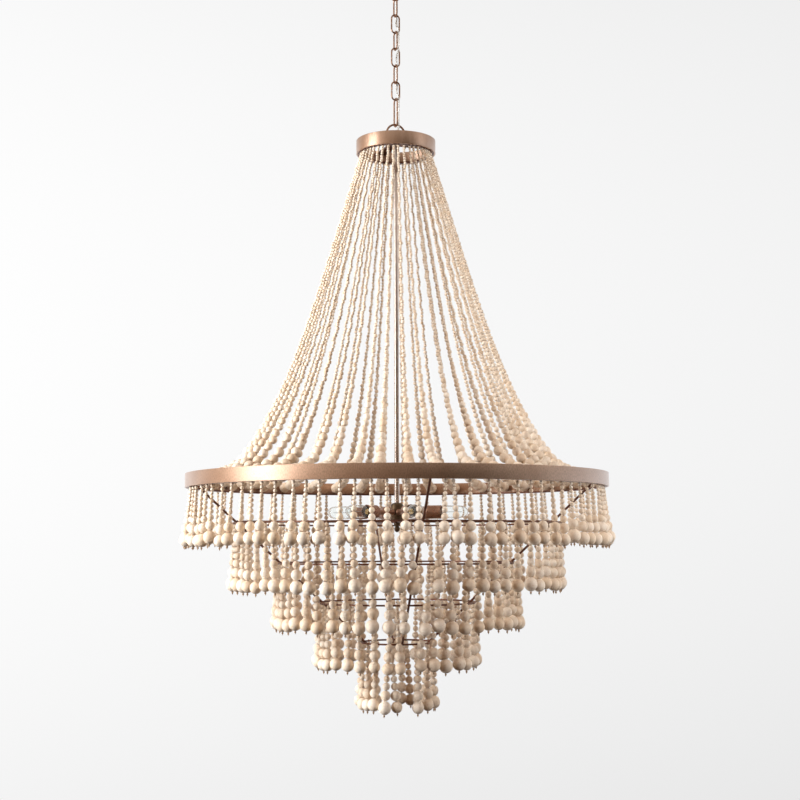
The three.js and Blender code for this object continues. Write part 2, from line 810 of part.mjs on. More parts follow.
// One lamp built upwards, where up becomes the way out from the hub
function lampPieces(number) {
  const start = apothem(hubRadius, hubSides) + seatGap;
  const cupEnd = cupStart + cupLength;
  const cupFloor = cupStart + cupTaper + cupWall;
  const cup = turned([
    [0, start],
    [lampArmRadius, start],
    [lampArmRadius, cupStart],
    [cupRadius, cupStart + cupTaper],
    [cupRadius, cupEnd],
    [cupRadius - cupWall, cupEnd],
    [cupRadius - cupWall, cupFloor],
    [0, cupFloor],
  ], lampSides);
  const holderStart = cupFloor + seatGap;
  const holderEnd = holderStart + holderLength;
  const bore = holeRadius(capRadius, seatGap, lampSides);
  const capStart = holderEnd - capDepth;
  const holder = turned([
    [0, holderStart],
    [holderRadius, holderStart],
    [holderRadius, holderEnd],
    [bore, holderEnd],
    [bore, capStart - seatGap],
    [0, capStart - seatGap],
  ], lampSides);
  const glassStart = holderEnd + turnGap;
  const bulb = turned([
    [0, capStart],
    [capRadius, capStart],
    [capRadius, glassStart],
    ...bulbOutlineShares.map(([r, along]) => [bulbRadius * r, glassStart + bulbLength * along]),
  ], lampSides);
  return [
    piece(`lamp_arm_${number}`, cup, bronze),
    piece(`lamp_holder_${number}`, holder, phenolic),
    piece(`bulb_${number}`, bulb, clearGlass),
  ];
}

function lamps() {
  const group = new THREE.Group();
  for (let i = 0; i < lampCount; i += 1) {
    const spoke = new THREE.Group();
    spoke.position.z = lampHeight;
    spoke.rotation.z = turn(lampBearingDegrees) + (i / lampCount) * 2 * Math.PI;
    for (const part of lampPieces(i + 1)) {
      part.rotation.x = Math.PI / 2;
      spoke.add(part);
    }
    group.add(spoke);
  }
  return group;
}

const group = new THREE.Group();
group.add(canopy(), canopyStrap(), canopyFixings());
group.add(twistedPieces());
group.add(bandRing('top_ring', topRingRadius, topRingBottom, topRingSides), stem());
group.add(drapedStrings());
group.add(bandRing('main_ring', mainRingRadius, mainRingBottom, mainRingSides));
group.add(firstTier());
for (let tier = 1; tier < tierCount; tier += 1) {
  group.add(lowerTier(tier));
}
group.add(frameRods(), armSpider(), hub(), lamps());

export default group;
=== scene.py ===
"""Looks for the beaded chandelier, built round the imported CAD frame.

Metres, +Z up, the viewer at -Y. The origin is on the ceiling above the middle of the frame.
A bearing is an angle round the vertical axis: zero faces the viewer, a quarter turn is +X.
"""

import json
import math

import bpy
import numpy as np
from mathutils import Matrix, Vector


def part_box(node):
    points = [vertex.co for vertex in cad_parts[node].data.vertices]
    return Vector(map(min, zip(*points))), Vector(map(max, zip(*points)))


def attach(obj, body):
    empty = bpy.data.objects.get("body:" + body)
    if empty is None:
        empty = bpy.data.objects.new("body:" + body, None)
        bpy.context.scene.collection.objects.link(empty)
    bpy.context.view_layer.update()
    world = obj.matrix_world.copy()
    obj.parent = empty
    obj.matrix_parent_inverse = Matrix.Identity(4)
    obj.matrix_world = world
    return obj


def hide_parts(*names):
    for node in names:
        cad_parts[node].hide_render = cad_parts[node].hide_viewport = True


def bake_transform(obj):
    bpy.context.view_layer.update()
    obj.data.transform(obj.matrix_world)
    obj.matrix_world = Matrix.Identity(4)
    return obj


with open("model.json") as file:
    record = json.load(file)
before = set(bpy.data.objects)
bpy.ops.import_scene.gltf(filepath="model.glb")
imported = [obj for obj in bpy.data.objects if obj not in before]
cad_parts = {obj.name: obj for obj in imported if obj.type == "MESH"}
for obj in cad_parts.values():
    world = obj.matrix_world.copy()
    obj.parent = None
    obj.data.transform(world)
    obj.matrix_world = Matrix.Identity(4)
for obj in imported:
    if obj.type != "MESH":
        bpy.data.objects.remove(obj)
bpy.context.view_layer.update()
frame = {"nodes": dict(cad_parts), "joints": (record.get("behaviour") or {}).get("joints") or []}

MM = 0.001
TURN = 2 * math.pi
UP = np.array([0, 0, 1.0])
SEED = 7
rng = np.random.default_rng(SEED)

# Camera, fitted to the photograph
CAMERA_PLACE = (6.5 * MM, -2715 * MM, -1154.5 * MM)
CAMERA_TILT = math.radians(95.913)
CAMERA_ROLL = math.radians(-0.2)
CAMERA_LENS = 63

# Sizes read from the frame
canopy_low, canopy_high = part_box("ceiling_canopy")
CANOPY_RADIUS = canopy_high.x
ring_low, ring_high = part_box("main_ring")
RING_RADIUS = ring_high.x
top_low, top_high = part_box("top_ring")
TOP_RADIUS = top_high.x
stem_low, stem_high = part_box("centre_stem")
hub_low, hub_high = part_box("lamp_hub")
spider_low, spider_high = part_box("arm_spider")
finial_low, finial_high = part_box("hub_finial")

# Sizes repeated from the part
BAND_WALL = 2.5 * MM
STRIP_THICKNESS = 3 * MM
MAIN_STRIP_WIDTH = 12 * MM
TOP_STRIP_WIDTH = 11 * MM
SEAT_GAP = 0.3 * MM
STRAND_INSET = 10.4 * MM
LAST_TIER_RADIUS = 70 * MM
TIERS = 5
TIER_STEP = (RING_RADIUS - STRAND_INSET - LAST_TIER_RADIUS) / (TIERS - 1)
STRAND_STEP = 18
LAST_TIER_STRANDS = 16
HOOP_BAR = 3.2 * MM
SIDE_NAMES = ("front", "right", "back", "left")
FRINGE_FLARE = 7 * MM
ROD_RADIUS = 2.25 * MM
ROD_BEARING = math.radians(8.6)
DRAPE_COUNT = 44
DRAPE_TOP_INSET = 9.5 * MM
# The smallest, middle and largest bead of a draped string
DRAPE_BEADS = (5.5 * MM, 8 * MM, 23.4 * MM)
DRAPE_BEAD_POWER = 6

# Hangings: chain, lead and hanger
CHAIN_TWIST = math.radians(22)
LINK_WIRE = 3.1 * MM
LINK_WIDTH = 19.7 * MM
LINK_PITCH = 34.5 * MM
LONG_LINK_PITCH = 54 * MM
LINK_COUNT = 6
LINK_SLIT = 1.2 * MM
COLLAR_SPACE = 12 * MM
FOOT_HEIGHT = 4 * MM
FOOT_TOP = canopy_low.z - COLLAR_SPACE
FOOT_BOTTOM = FOOT_TOP - FOOT_HEIGHT
LOOP_WIRE = 4 * MM
LOOP_HALF_WIDTH = 8.5 * MM
LOOP_DROP = 13.5 * MM
LOOP_CENTRE = FOOT_BOTTOM - LOOP_DROP
FIRST_EYE = LOOP_CENTRE - LOOP_HALF_WIDTH + LOOP_WIRE / 2 + SEAT_GAP
LONG_EYE = FIRST_EYE - LINK_COUNT * LINK_PITCH
HANGER_EYE = LONG_EYE - LONG_LINK_PITCH
HANGER_WIRE = 4 * MM
HANGER_HALF_WIDTH = 19.3 * MM
HANGER_CENTRE = HANGER_EYE + HANGER_WIRE / 2 - HANGER_HALF_WIDTH
HANGER_LEG_LENGTH = 17.5 * MM
PLATE_THICKNESS = 4 * MM
HANGER_NUT_THICKNESS = 3.2 * MM
HANGER_LEG = HANGER_LEG_LENGTH + PLATE_THICKNESS + 2 * HANGER_NUT_THICKNESS
LEAD_DIAMETER = 4.6 * MM
LEAD_CLEARANCE = 0.5 * MM
LEAD_CROSSING = 2 * MM
LEAD_IN_NIPPLE = 14 * MM
LEAD_IN_STEM = 18 * MM

# Lamps, measured outwards from the axis
LAMP_COUNT = 6
LAMP_BEARING = math.radians(18)
LAMP_ABOVE_HUB = 15 * MM
LAMP_HEIGHT = hub_low.z + LAMP_ABOVE_HUB
ARM_START = 11.9 * MM
ARM_RADIUS = 4.5 * MM
CUP_START = 58 * MM
CUP_END = 87 * MM
CUP_RADIUS = 12.8 * MM
CUP_WALL = 1 * MM
CUP_TAPER = 3 * MM
HOLDER_START = CUP_START + CUP_TAPER + CUP_WALL + SEAT_GAP
HOLDER_LENGTH = 22 * MM
HOLDER_END = HOLDER_START + HOLDER_LENGTH
HOLDER_RADIUS = 8.5 * MM
CAP_RADIUS = 5.9 * MM
CAP_DEPTH = 17 * MM
CAP_START = HOLDER_END - CAP_DEPTH
GLASS_GAP = 0.5 * MM
GLASS_START = HOLDER_END + GLASS_GAP
BULB_RADIUS = 12.4 * MM
BULB_LENGTH = 54 * MM


# Mesh making. A shape is points, four-sided faces and three-sided faces.


def shape(points, quads=(), tris=()):
    quads = np.asarray(quads, int).reshape(-1, 4)
    return np.asarray(points, float).reshape(-1, 3), quads, np.asarray(tris, int).reshape(-1, 3)


def merged(shapes):
    points, quads, tris = [], [], []
    start = 0
    for p, q, t in shapes:
        points.append(p)
        quads.append(q + start)
        tris.append(t + start)
        start += len(p)
    return shape(np.concatenate(points), np.concatenate(quads), np.concatenate(tris))


def moved(made, matrix):
    points, quads, tris = made
    m = np.array(matrix)
    return points @ m[:3, :3].T + m[:3, 3], quads, tris


def grid_faces(rows, columns, round_rows=False):
    """Faces between neighbouring rows of points. The columns close on themselves, and the rows may."""
    here = np.arange(rows * columns).reshape(rows, columns)
    beside = np.roll(here, -1, 1)
    faces = np.stack([here, beside, np.roll(beside, -1, 0), np.roll(here, -1, 0)], 2)
    return (faces if round_rows else faces[:-1]).reshape(-1, 4)


def capped(points, rows, columns, first_tip, last_tip):
    """A grid of points that a fan of faces closes at each end."""
    total = len(points)
    here = np.arange(columns)
    there = (here + 1) % columns
    last = (rows - 1) * columns
    first_fan = np.stack([np.full(columns, total), there, here], 1)
    last_fan = np.stack([np.full(columns, total + 1), last + here, last + there], 1)
    points = np.concatenate([points, [first_tip], [last_tip]])
    return shape(points, grid_faces(rows, columns), np.concatenate([first_fan, last_fan]))


def turns(count):
    """Evenly spread angles once round."""
    return np.arange(count) / count * TURN


def outward(bearings):
    """The level way out from the axis at each bearing."""
    return np.stack([np.sin(bearings), -np.cos(bearings), 0 * bearings], -1)


def revolved(profile, segments, closed=True):
    """A profile of (radius, height) turned round the vertical axis. An open one ends on the axis."""
    profile = np.asarray(profile, float)
    body = profile if closed else profile[1:-1]
    rows = body[:, None, :1] * outward(turns(segments)) + body[:, None, 1:] * UP
    points = rows.reshape(-1, 3)
    if closed:
        return shape(points, grid_faces(len(body), segments, round_rows=True))
    return capped(points, len(body), segments, (0, 0, profile[0][1]), (0, 0, profile[-1][1]))


def unit(vectors):
    """Each vector at a length of one."""
    return vectors / np.linalg.norm(vectors, axis=-1, keepdims=True)


def bar_section(inner, outer, low, high):
    """The four corners of a straight-sided ring, as (radius, height)."""
    return [(inner, low), (outer, low), (outer, high), (inner, high)]


def rounded(profile, radius, steps, closed):
    """The profile with its corners rounded off, so that edges catch the light."""
    profile = [np.asarray(p, float) for p in profile]
    count = len(profile)
    longest_share = 0.45
    result = []
    for i, corner in enumerate(profile):
        if not closed and i in (0, count - 1):
            result.append(corner)
            continue
        before = profile[i - 1] - corner
        after = profile[(i + 1) % count] - corner
        back = min(radius, np.linalg.norm(before) * longest_share)
        forth = min(radius, np.linalg.norm(after) * longest_share)
        start = corner + unit(before) * back
        end = corner + unit(after) * forth
        for k in range(steps + 1):
            t = k / steps
            result.append((1 - t) ** 2 * start + 2 * t * (1 - t) * corner + t**2 * end)
    return result


def turned(profile, edge, segments, closed=True, steps=2):
    """A profile with softened corners, turned round the vertical axis."""
    return revolved(rounded(profile, edge, steps, closed), segments, closed)


def stepped(radius, height, steps):
    """Points of a profile, each a step out and up in millimetres from the same place."""
    return [(radius + out * MM, height + up * MM) for out, up in steps]


def swept(path, radius, sides, closed=False):
    """A tube along a path, whose radius may change on its way."""
    path = np.asarray(path, float)
    count = len(path)
    radii = np.broadcast_to(np.asarray(radius, float), (count,))
    along = np.roll(path, -1, 0) - np.roll(path, 1, 0) if closed else np.gradient(path, axis=0)
    along = unit(along)
    side = np.cross(along[0], UP)
    upright_limit = 0.001
    if np.linalg.norm(side) < upright_limit:
        side = np.cross(along[0], (1.0, 0.0, 0.0))
    angles = turns(sides)
    rings = []
    for i in range(count):
        side = unit(side - along[i] * np.dot(side, along[i]))
        up = np.cross(along[i], side)
        rings.append(path[i] + radii[i] * (np.outer(np.cos(angles), side) + np.outer(np.sin(angles), up)))
    points = np.concatenate(rings)
    if closed:
        return shape(points, grid_faces(count, sides, round_rows=True))
    return capped(points, count, sides, path[0], path[-1])


def add_object(name, data):
    made = bpy.data.objects.new(name, data)
    bpy.context.scene.collection.objects.link(made)
    return made


def piece(name, layers, replaces=(), body="frame", sharp=40):
    """A smooth mesh object from layers, each a shape and its finish.

    It stands for the CAD nodes that it replaces and rides on a body.
    """
    points, quads, tris = merged([form for form, _ in layers])
    finishes = list(dict.fromkeys(finish for _, finish in layers))
    mesh = bpy.data.meshes.new(name)
    mesh.from_pydata(points.tolist(), [], quads.tolist() + tris.tolist())
    owners, counts = [], []
    for kind in (1, 2):
        owners += [finishes.index(finish) for _, finish in layers]
        counts += [len(form[kind]) for form, _ in layers]
    mesh.polygons.foreach_set("material_index", np.repeat(owners, counts).astype(np.int32))
    mesh.shade_smooth()
    if sharp:
        mesh.set_sharp_from_angle(angle=math.radians(sharp))
    for _, material in finishes:
        mesh.materials.append(material)
    made = add_object(name, mesh)
    if replaces:
        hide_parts(*replaces)
    if body:
        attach(made, body)
    return made


# Materials. Each finish is a slot of the part and the material that fills it.


def new_material(name):
    material = bpy.data.materials.new(name)
    material.use_nodes = True
    tree = material.node_tree
    return material, tree, tree.nodes["Principled BSDF"]


def feed(tree, node, values):
    """Gives each named input of a node another node's output, a number or a colour."""
    for key, value in values.items():
        socket = node.inputs[key]
        if isinstance(value, bpy.types.NodeSocket):
            tree.links.new(value, socket)
        else:
            socket.default_value = (*value, 1) if socket.type == "RGBA" else value


def add_node(tree, kind, values=None, **settings):
    made = tree.nodes.new(kind)
    for key, value in settings.items():
        setattr(made, key, value)
    feed(tree, made, values or {})
    return made


def noise(tree, vector, scale, detail=2, rough=0.5):
    values = {"Vector": vector, "Scale": scale, "Detail": detail, "Roughness": rough}
    return add_node(tree, "ShaderNodeTexNoise", values).outputs["Fac"]


def stretched(tree, vector, scale):
    return add_node(tree, "ShaderNodeMapping", {"Vector": vector, "Scale": scale}).outputs["Vector"]


def remapped(tree, value, source, target=(0, 1)):
    """A value carried over from one range to another, and held inside it."""
    values = {"Value": value, "From Min": source[0], "From Max": source[1]}
    values.update({"To Min": target[0], "To Max": target[1]})
    return add_node(tree, "ShaderNodeMapRange", values).outputs["Result"]


def colour_between(tree, share, first, second):
    made = add_node(tree, "ShaderNodeMix", data_type="RGBA")
    places = [k for k, socket in enumerate(made.inputs) if socket.type == "RGBA"]
    feed(tree, made, {"Factor": share, **dict(zip(places, (first, second)))})
    return [socket for socket in made.outputs if socket.type == "RGBA"][0]


def bumped(tree, height, distance, strength):
    values = {"Height": height, "Distance": distance, "Strength": strength}
    return add_node(tree, "ShaderNodeBump", values).outputs["Normal"]


def place_on(tree):
    return add_node(tree, "ShaderNodeTexCoord").outputs["Object"]


def arithmetic(tree, operation, first, second):
    """One sum of two values. Each is a number or an output."""
    made = add_node(tree, "ShaderNodeMath", {0: first, 1: second}, operation=operation)
    return made.outputs["Value"]


def bearing_of(tree, direction):
    """The bearing of a direction or a place, its height, and how far it is to the right."""
    apart = add_node(tree, "ShaderNodeSeparateXYZ", {"Vector": direction}).outputs
    ahead = arithmetic(tree, "MULTIPLY", apart["Y"], -1)
    return arithmetic(tree, "ARCTAN2", apart["X"], ahead), apart["Z"], apart["X"]


def bead_wood():
    """Pale turned wood. Each bead has its own tint and its own direction of grain."""
    material, tree, shader = new_material("bead_wood")
    tan, cream = (0.79, 0.62, 0.455), (0.92, 0.82, 0.7)
    place = add_node(tree, "ShaderNodeAttribute", attribute_name="bead").outputs["Vector"]
    tint = add_node(tree, "ShaderNodeAttribute", attribute_name="tint").outputs["Fac"]
    grain = noise(tree, stretched(tree, place, (1, 1, 0.1)), scale=520, detail=3, rough=0.6)
    pores = noise(tree, stretched(tree, place, (1, 1, 0.2)), scale=1700)
    clouds = noise(tree, place, scale=60)
    # The veins, the pale clouds and the pores: where each begins and is full, its most and its colour
    overlays = (
        (grain, (0.52, 0.8), 0.6, (0.66, 0.42, 0.22)),
        (clouds, (0.45, 0.8), 0.5, (0.95, 0.84, 0.68)),
        (pores, (0.64, 0.8), 0.3, (0.5, 0.32, 0.18)),
    )
    colour = colour_between(tree, tint, tan, cream)
    for pattern, reach, most_share, shade in overlays:
        colour = colour_between(tree, remapped(tree, pattern, reach, (0, most_share)), colour, shade)
    looks = {
        "Base Color": colour,
        "Roughness": remapped(tree, grain, (0.3, 0.7), (0.38, 0.52)),
        "Specular IOR Level": 0.4,
        "Normal": bumped(tree, grain, distance=0.12 * MM, strength=0.5),
    }
    feed(tree, shader, looks)
    return "bead_wood", material


def band_bronze():
    """Copper bronze with fine upright brush marks round the bands, under a thin clear lacquer."""
    material, tree, shader = new_material("band_bronze")
    dark_brown, light_brown = (0.56, 0.32, 0.19), (0.68, 0.42, 0.27)
    mark_colour = (0.28, 0.14, 0.08)
    bearing, height, _ = bearing_of(tree, place_on(tree))
    place = add_node(tree, "ShaderNodeCombineXYZ", {"X": bearing, "Z": height}).outputs["Vector"]
    marks = noise(tree, stretched(tree, place, (230, 1, 260)), scale=1, detail=3, rough=0.6)
    patches = noise(tree, stretched(tree, place, (9, 1, 25)), scale=1)
    brown = colour_between(tree, remapped(tree, patches, (0.3, 0.7)), dark_brown, light_brown)
    marked_share = remapped(tree, marks, (0.4, 0.75), (0, 0.75))
    looks = {
        "Base Color": colour_between(tree, marked_share, brown, mark_colour),
        "Roughness": remapped(tree, marks, (0.3, 0.75), (0.34, 0.48)),
        "Metallic": 0.9,
        "Coat Weight": 1,
        "Coat Roughness": 0.34,
        "Coat IOR": 1.85,
        "Normal": bumped(tree, marks, distance=0.1 * MM, strength=0.5),
    }
    feed(tree, shader, looks)
    return "bronze", material


def plated(slot, name):
    """A plated metal with soft patches of wear and fine unevenness."""
    material, tree, shader = new_material(name)
    light, dark, roughness, metallic, scale, bump = LOOKS[name]
    fineness = 8
    patches = noise(tree, place_on(tree), scale, detail=4, rough=0.6)
    fine = noise(tree, place_on(tree), scale * fineness)
    looks = {
        "Base Color": colour_between(tree, remapped(tree, patches, (0.35, 0.7)), dark, light),
        "Roughness": remapped(tree, fine, (0.3, 0.7), roughness),
        "Metallic": metallic,
        "Normal": bumped(tree, fine, bump, strength=0.4),
    }
    feed(tree, shader, looks)
    return slot, material


def clear_glass():
    """Thin glass of the bulbs, with a faint ripple."""
    material, tree, shader = new_material("clear_glass")
    ripple = noise(tree, place_on(tree), scale=40, detail=1)
    looks = {
        "Base Color": (0.97, 0.985, 0.98),
        "Transmission Weight": 1,
        "IOR": 1.3,
        "Roughness": 0.02,
        "Normal": bumped(tree, ripple, distance=0.2 * MM, strength=0.2),
    }
    feed(tree, shader, looks)
    return "clear_glass", material


def speckled(slot, name, colours, pattern, bump, looks):
    """A plain material with a fine speckle between two colours, and further looks of its own.

    The pattern is its scale, stretch and detail, and the bump its depth and strength.
    """
    material, tree, shader = new_material(name)
    scale, stretch, detail = pattern
    speckle = noise(tree, stretched(tree, place_on(tree), stretch), scale, detail)
    mixed = colour_between(tree, remapped(tree, speckle, (0.35, 0.65)), *colours)
    feed(tree, shader, {"Base Color": mixed, "Normal": bumped(tree, speckle, *bump), **looks})
    return slot, material


def clear_vinyl():
    """Clear lead cover over fine bright strands, which look pale from a distance."""
    looks = {"Roughness": 0.22, "Coat Weight": 0.6, "Coat Roughness": 0.1}
    colours = ((0.62, 0.6, 0.56), (0.9, 0.89, 0.86))
    pattern, bump = (1500, (1, 1, 0.3), 2), (0.1 * MM, 0.3)
    return speckled("clear_vinyl", "clear_vinyl", colours, pattern, bump, looks)


def waxed_cord():
    """Tan twisted cord of the knots, loops and threads."""
    colours = ((0.3, 0.19, 0.11), (0.56, 0.39, 0.25))
    pattern, bump = (1300, (1, 1, 2), 2), (0.2 * MM, 0.8)
    return speckled("bead_wood", "waxed_cord", colours, pattern, bump, {"Roughness": 0.8})


def moulded_phenolic():
    """Dark moulded resin of the lamp holders."""
    colours = ((0.03, 0.022, 0.018), (0.05, 0.038, 0.03))
    pattern, bump = (900, (1, 1, 1), 3), (0.05 * MM, 0.4)
    return speckled("phenolic", "phenolic", colours, pattern, bump, {"Roughness": 0.5})


# Finishes.

WOOD = bead_wood()
CORD = waxed_cord()
VINYL = clear_vinyl()
GLASS = clear_glass()
PHENOLIC = moulded_phenolic()
BAND = band_bronze()
# The plated metals: light and dark colour, roughness range, metallic, patch scale and bump
LOOKS = {
    "turned_bronze": ((0.62, 0.38, 0.26), (0.44, 0.25, 0.16), (0.22, 0.38), 0.9, 60, 0.05 * MM),
    # The stem: the bronze painted much paler, painted light that stands for its bright reflection
    "stem_bronze_painted_light": ((0.8, 0.72, 0.67), (0.7, 0.6, 0.54), (0.14, 0.26), 0.95, 50, 0.03 * MM),
    # The cups: the bronze painted darker, painted shade that stands for their dark look among the lamps
    "cup_bronze_painted_shade": ((0.46, 0.26, 0.18), (0.32, 0.17, 0.11), (0.24, 0.4), 0.9, 60, 0.05 * MM),
    "dark_bronze": ((0.26, 0.12, 0.085), (0.13, 0.065, 0.045), (0.28, 0.45), 0.8, 80, 0.06 * MM),
    "hub_bronze": ((0.17, 0.11, 0.06), (0.1, 0.065, 0.04), (0.3, 0.45), 0.8, 80, 0.06 * MM),
    "chain_brass": ((0.6, 0.36, 0.24), (0.3, 0.16, 0.1), (0.22, 0.4), 0.95, 160, 0.05 * MM),
    "zinc_steel": ((0.75, 0.75, 0.73), (0.6, 0.6, 0.57), (0.28, 0.45), 1.0, 90, 0.04 * MM),
    "lamp_brass": ((0.8, 0.6, 0.3), (0.66, 0.46, 0.2), (0.18, 0.32), 1.0, 90, 0.03 * MM),
    "tungsten": ((0.4, 0.38, 0.36), (0.3, 0.28, 0.26), (0.3, 0.45), 1.0, 90, 0.02 * MM),
}
BRONZE = plated("bronze", "turned_bronze")
# The stem's finish: the bronze painted paler, painted light for its bright reflection
STEM = plated("bronze", "stem_bronze_painted_light")
# The cups' finish: the bronze painted darker, painted shade for their dark look among the lamps
CUP = plated("bronze", "cup_bronze_painted_shade")
DARK = plated("dark_bronze", "dark_bronze")
HUB = plated("dark_bronze", "hub_bronze")
CHAIN = plated("chain_brass", "chain_brass")
ZINC = plated("zinc_steel", "zinc_steel")
BRASS = plated("phenolic", "lamp_brass")
TUNGSTEN = plated("clear_glass", "tungsten")


# Beads. Every bead is a closed turned shape with a real bore for its cord.

# Each kind is its smallest diameter, its segments and its rings
BEAD_KINDS = ((16 * MM, 18, 11), (9 * MM, 12, 8), (0, 9, 6))
BORE_RADIUS = 0.9 * MM
LARGEST_BORE_SHARE = 0.32
BEAD_SPREAD_SHARE = 0.06
ROUNDNESS_SPREAD_SHARE = 0.06
GRAIN_OFFSET = 5


def bead_form(segments, rings, bore_share):
    """A bead of radius one round its bore, and its faces."""
    first = math.asin(bore_share)
    steps = np.linspace(first, math.pi - first, rings + 1)
    angles = turns(segments)
    heights = np.broadcast_to(np.cos(steps)[:, None], (rings + 1, segments))
    rows = [np.outer(np.sin(steps), np.cos(angles)), np.outer(np.sin(steps), np.sin(angles)), heights]
    return np.stack(rows, 2).reshape(-1, 3), grid_faces(rings + 1, segments, round_rows=True)[:, ::-1]


def axes_along(directions):
    """For each direction, a turned set of axes whose third one is the direction."""
    third = unit(directions)
    helper = rng.normal(size=third.shape)
    first = unit(np.cross(helper, third))
    return np.stack([first, np.cross(third, first), third], 2)


def bead_piece(name, strings, replaces):
    """All the beads of some strings in one mesh, with places and tints for the wood's grain.

    A string is its beads' centres, their diameters and their directions.
    """
    centres, diameters, directions = [np.concatenate(values) for values in zip(*strings)]
    radii = diameters / 2
    axes = axes_along(directions)
    grains = axes_along(rng.normal(size=centres.shape))
    offsets = rng.uniform(0, GRAIN_OFFSET, centres.shape)
    tints = rng.uniform(0, 1, len(radii))
    squash = 1 + rng.uniform(-ROUNDNESS_SPREAD_SHARE, 0, len(radii))
    shapes, places, tint_values = [], [], []
    largest = math.inf
    for smallest, segments, rings in BEAD_KINDS:
        chosen = np.nonzero((radii * 2 >= smallest) & (radii * 2 < largest))[0]
        largest = smallest
        if not len(chosen):
            continue
        share = min(LARGEST_BORE_SHARE, BORE_RADIUS / radii[chosen].mean())
        form, faces = bead_form(segments, rings, share)
        across = radii[chosen] * squash[chosen]
        size = np.stack([across, across, radii[chosen]], 1)
        local = form[None, :, :] * size[:, None, :]
        points = np.einsum("bij,bpj->bpi", axes[chosen], local) + centres[chosen][:, None, :]
        grain = np.einsum("bij,bpj->bpi", grains[chosen], local) + offsets[chosen][:, None, :]
        quads = faces[None, :, :] + (np.arange(len(chosen)) * len(form))[:, None, None]
        shapes.append(shape(points, quads))
        places.append(grain.reshape(-1, 3))
        tint_values.append(np.repeat(tints[chosen], len(form)))
    made = piece(name, [(merged(shapes), WOOD)], replaces, sharp=0)
    for label, kind, key, values in (
        ("bead", "FLOAT_VECTOR", "vector", places),
        ("tint", "FLOAT", "value", tint_values),
    ):
        attribute = made.data.attributes.new(label, kind, "POINT")
        attribute.data.foreach_set(key, np.concatenate(values).astype(np.float32).ravel())


# Cords

CORD_RADIUS = 0.5 * MM
CORD_SIDES = 5
KNOT_RADIUS = 1.75 * MM
KNOT_LENGTH = 6 * MM
# Places along a knot and its tail, each with its radius, as shares of the whole
KNOT_SHARES = np.array([[0, 0.25], [0.07, 0.75], [0.2, 1], [0.5, 1], [0.66, 0.7], [0.72, 0.32], [1, 0.26]])


def cord(path):
    return swept(path, CORD_RADIUS, CORD_SIDES)


def knot(place, direction):
    """A tied knot with the short end of its cord, from a place onwards."""
    path = place + np.outer(KNOT_SHARES[:, 0] * KNOT_LENGTH, direction)
    return swept(path, KNOT_SHARES[:, 1] * KNOT_RADIUS, sides=8)


def hoop_loop(place, bearing):
    """A cord's loop round the square bar of a hoop."""
    half = HOOP_BAR / 2 + CORD_RADIUS
    squareness = 0.8
    angles = turns(12)
    reach = half / np.maximum(np.abs(np.cos(angles)), np.abs(np.sin(angles))) ** squareness
    path = place + np.outer(np.cos(angles) * reach, outward(bearing))
    path += np.outer(np.sin(angles) * reach, UP)
    return swept(path, CORD_RADIUS, CORD_SIDES, closed=True)


# Fringes of the tiers

# Bead diameters in millimetres, from the lowest one up
FIRST_TIER_BEADS = [23, 19, 13, 10.5, 9.5, 8.7, 8, 7.5, 7.2, 7, 7, 7, 7]
LOWER_TIER_BEADS = [24, 20, 15, 12.5, 11.5, 10.5, 9.5, 8.7, 8, 7.5, 7, 7, 7, 7]
LOW_SPREAD_SHARE = 0.08
STRING_SHIFT = 6 * MM
STRING_SWAY = 2.5 * MM
ROD_SPACE = 23 * MM
END_SPREAD = (-2 * MM, 4 * MM)
TOUCH_GAP = 0.2 * MM


def string_bearings(count, radius):
    """Bearings round a hoop, a little uneven, which leave a gap at each frame rod."""
    bearings = (np.arange(count) + 0.5) / count * TURN
    bearings += rng.uniform(-STRING_SHIFT, STRING_SHIFT, count) / radius
    space = ROD_SPACE / radius
    for k in range(len(SIDE_NAMES)):
        rod = ROD_BEARING + k * TURN / len(SIDE_NAMES)
        aside = (bearings - rod + TURN / 2) % TURN - TURN / 2
        bearings += np.where(np.abs(aside) < space, np.sign(aside) * space - aside, 0)
    return bearings


def spaced_apart(places, radii):
    """Moves the lowest beads of a ring apart, round by round, until they only just touch."""
    home = places
    places = places.copy()
    rounds = 60
    homeward_share = 0.02
    for _ in range(rounds):
        step = np.roll(places, -1, 0) - places
        distance = np.linalg.norm(step, axis=1)
        need = radii + np.roll(radii, -1) + TOUCH_GAP - distance
        push = np.where(need > 0, need, 0)[:, None] * step / distance[:, None] / 2
        places += np.roll(push, 1, 0) - push
        places += (home - places) * homeward_share
    return places


def string_beads(sizes, drop, low_bead):
    """The diameters of one string's beads from the top down, which fill its drop."""
    chosen = []
    for size in sizes:
        chosen.append(size * MM)
        if sum(chosen) > drop:
            break
    beads = np.array(chosen) * rng.uniform(1 - BEAD_SPREAD_SHARE, 1 + BEAD_SPREAD_SHARE, len(chosen))
    beads[0] = low_bead
    beads[1:] *= (drop - low_bead) / beads[1:].sum()
    return beads[::-1]


def hung_string(top, low, drop, beads):
    """The centres and directions of a hanging string's beads, the way it slopes and its lower end."""
    slope = (low - top) / (drop - beads[-1] / 2)
    slope[2] = -1
    depth = np.cumsum(beads) - beads / 2
    return top + depth[:, None] * slope, np.repeat(slope[None, :], len(beads), 0), slope, top + drop * slope


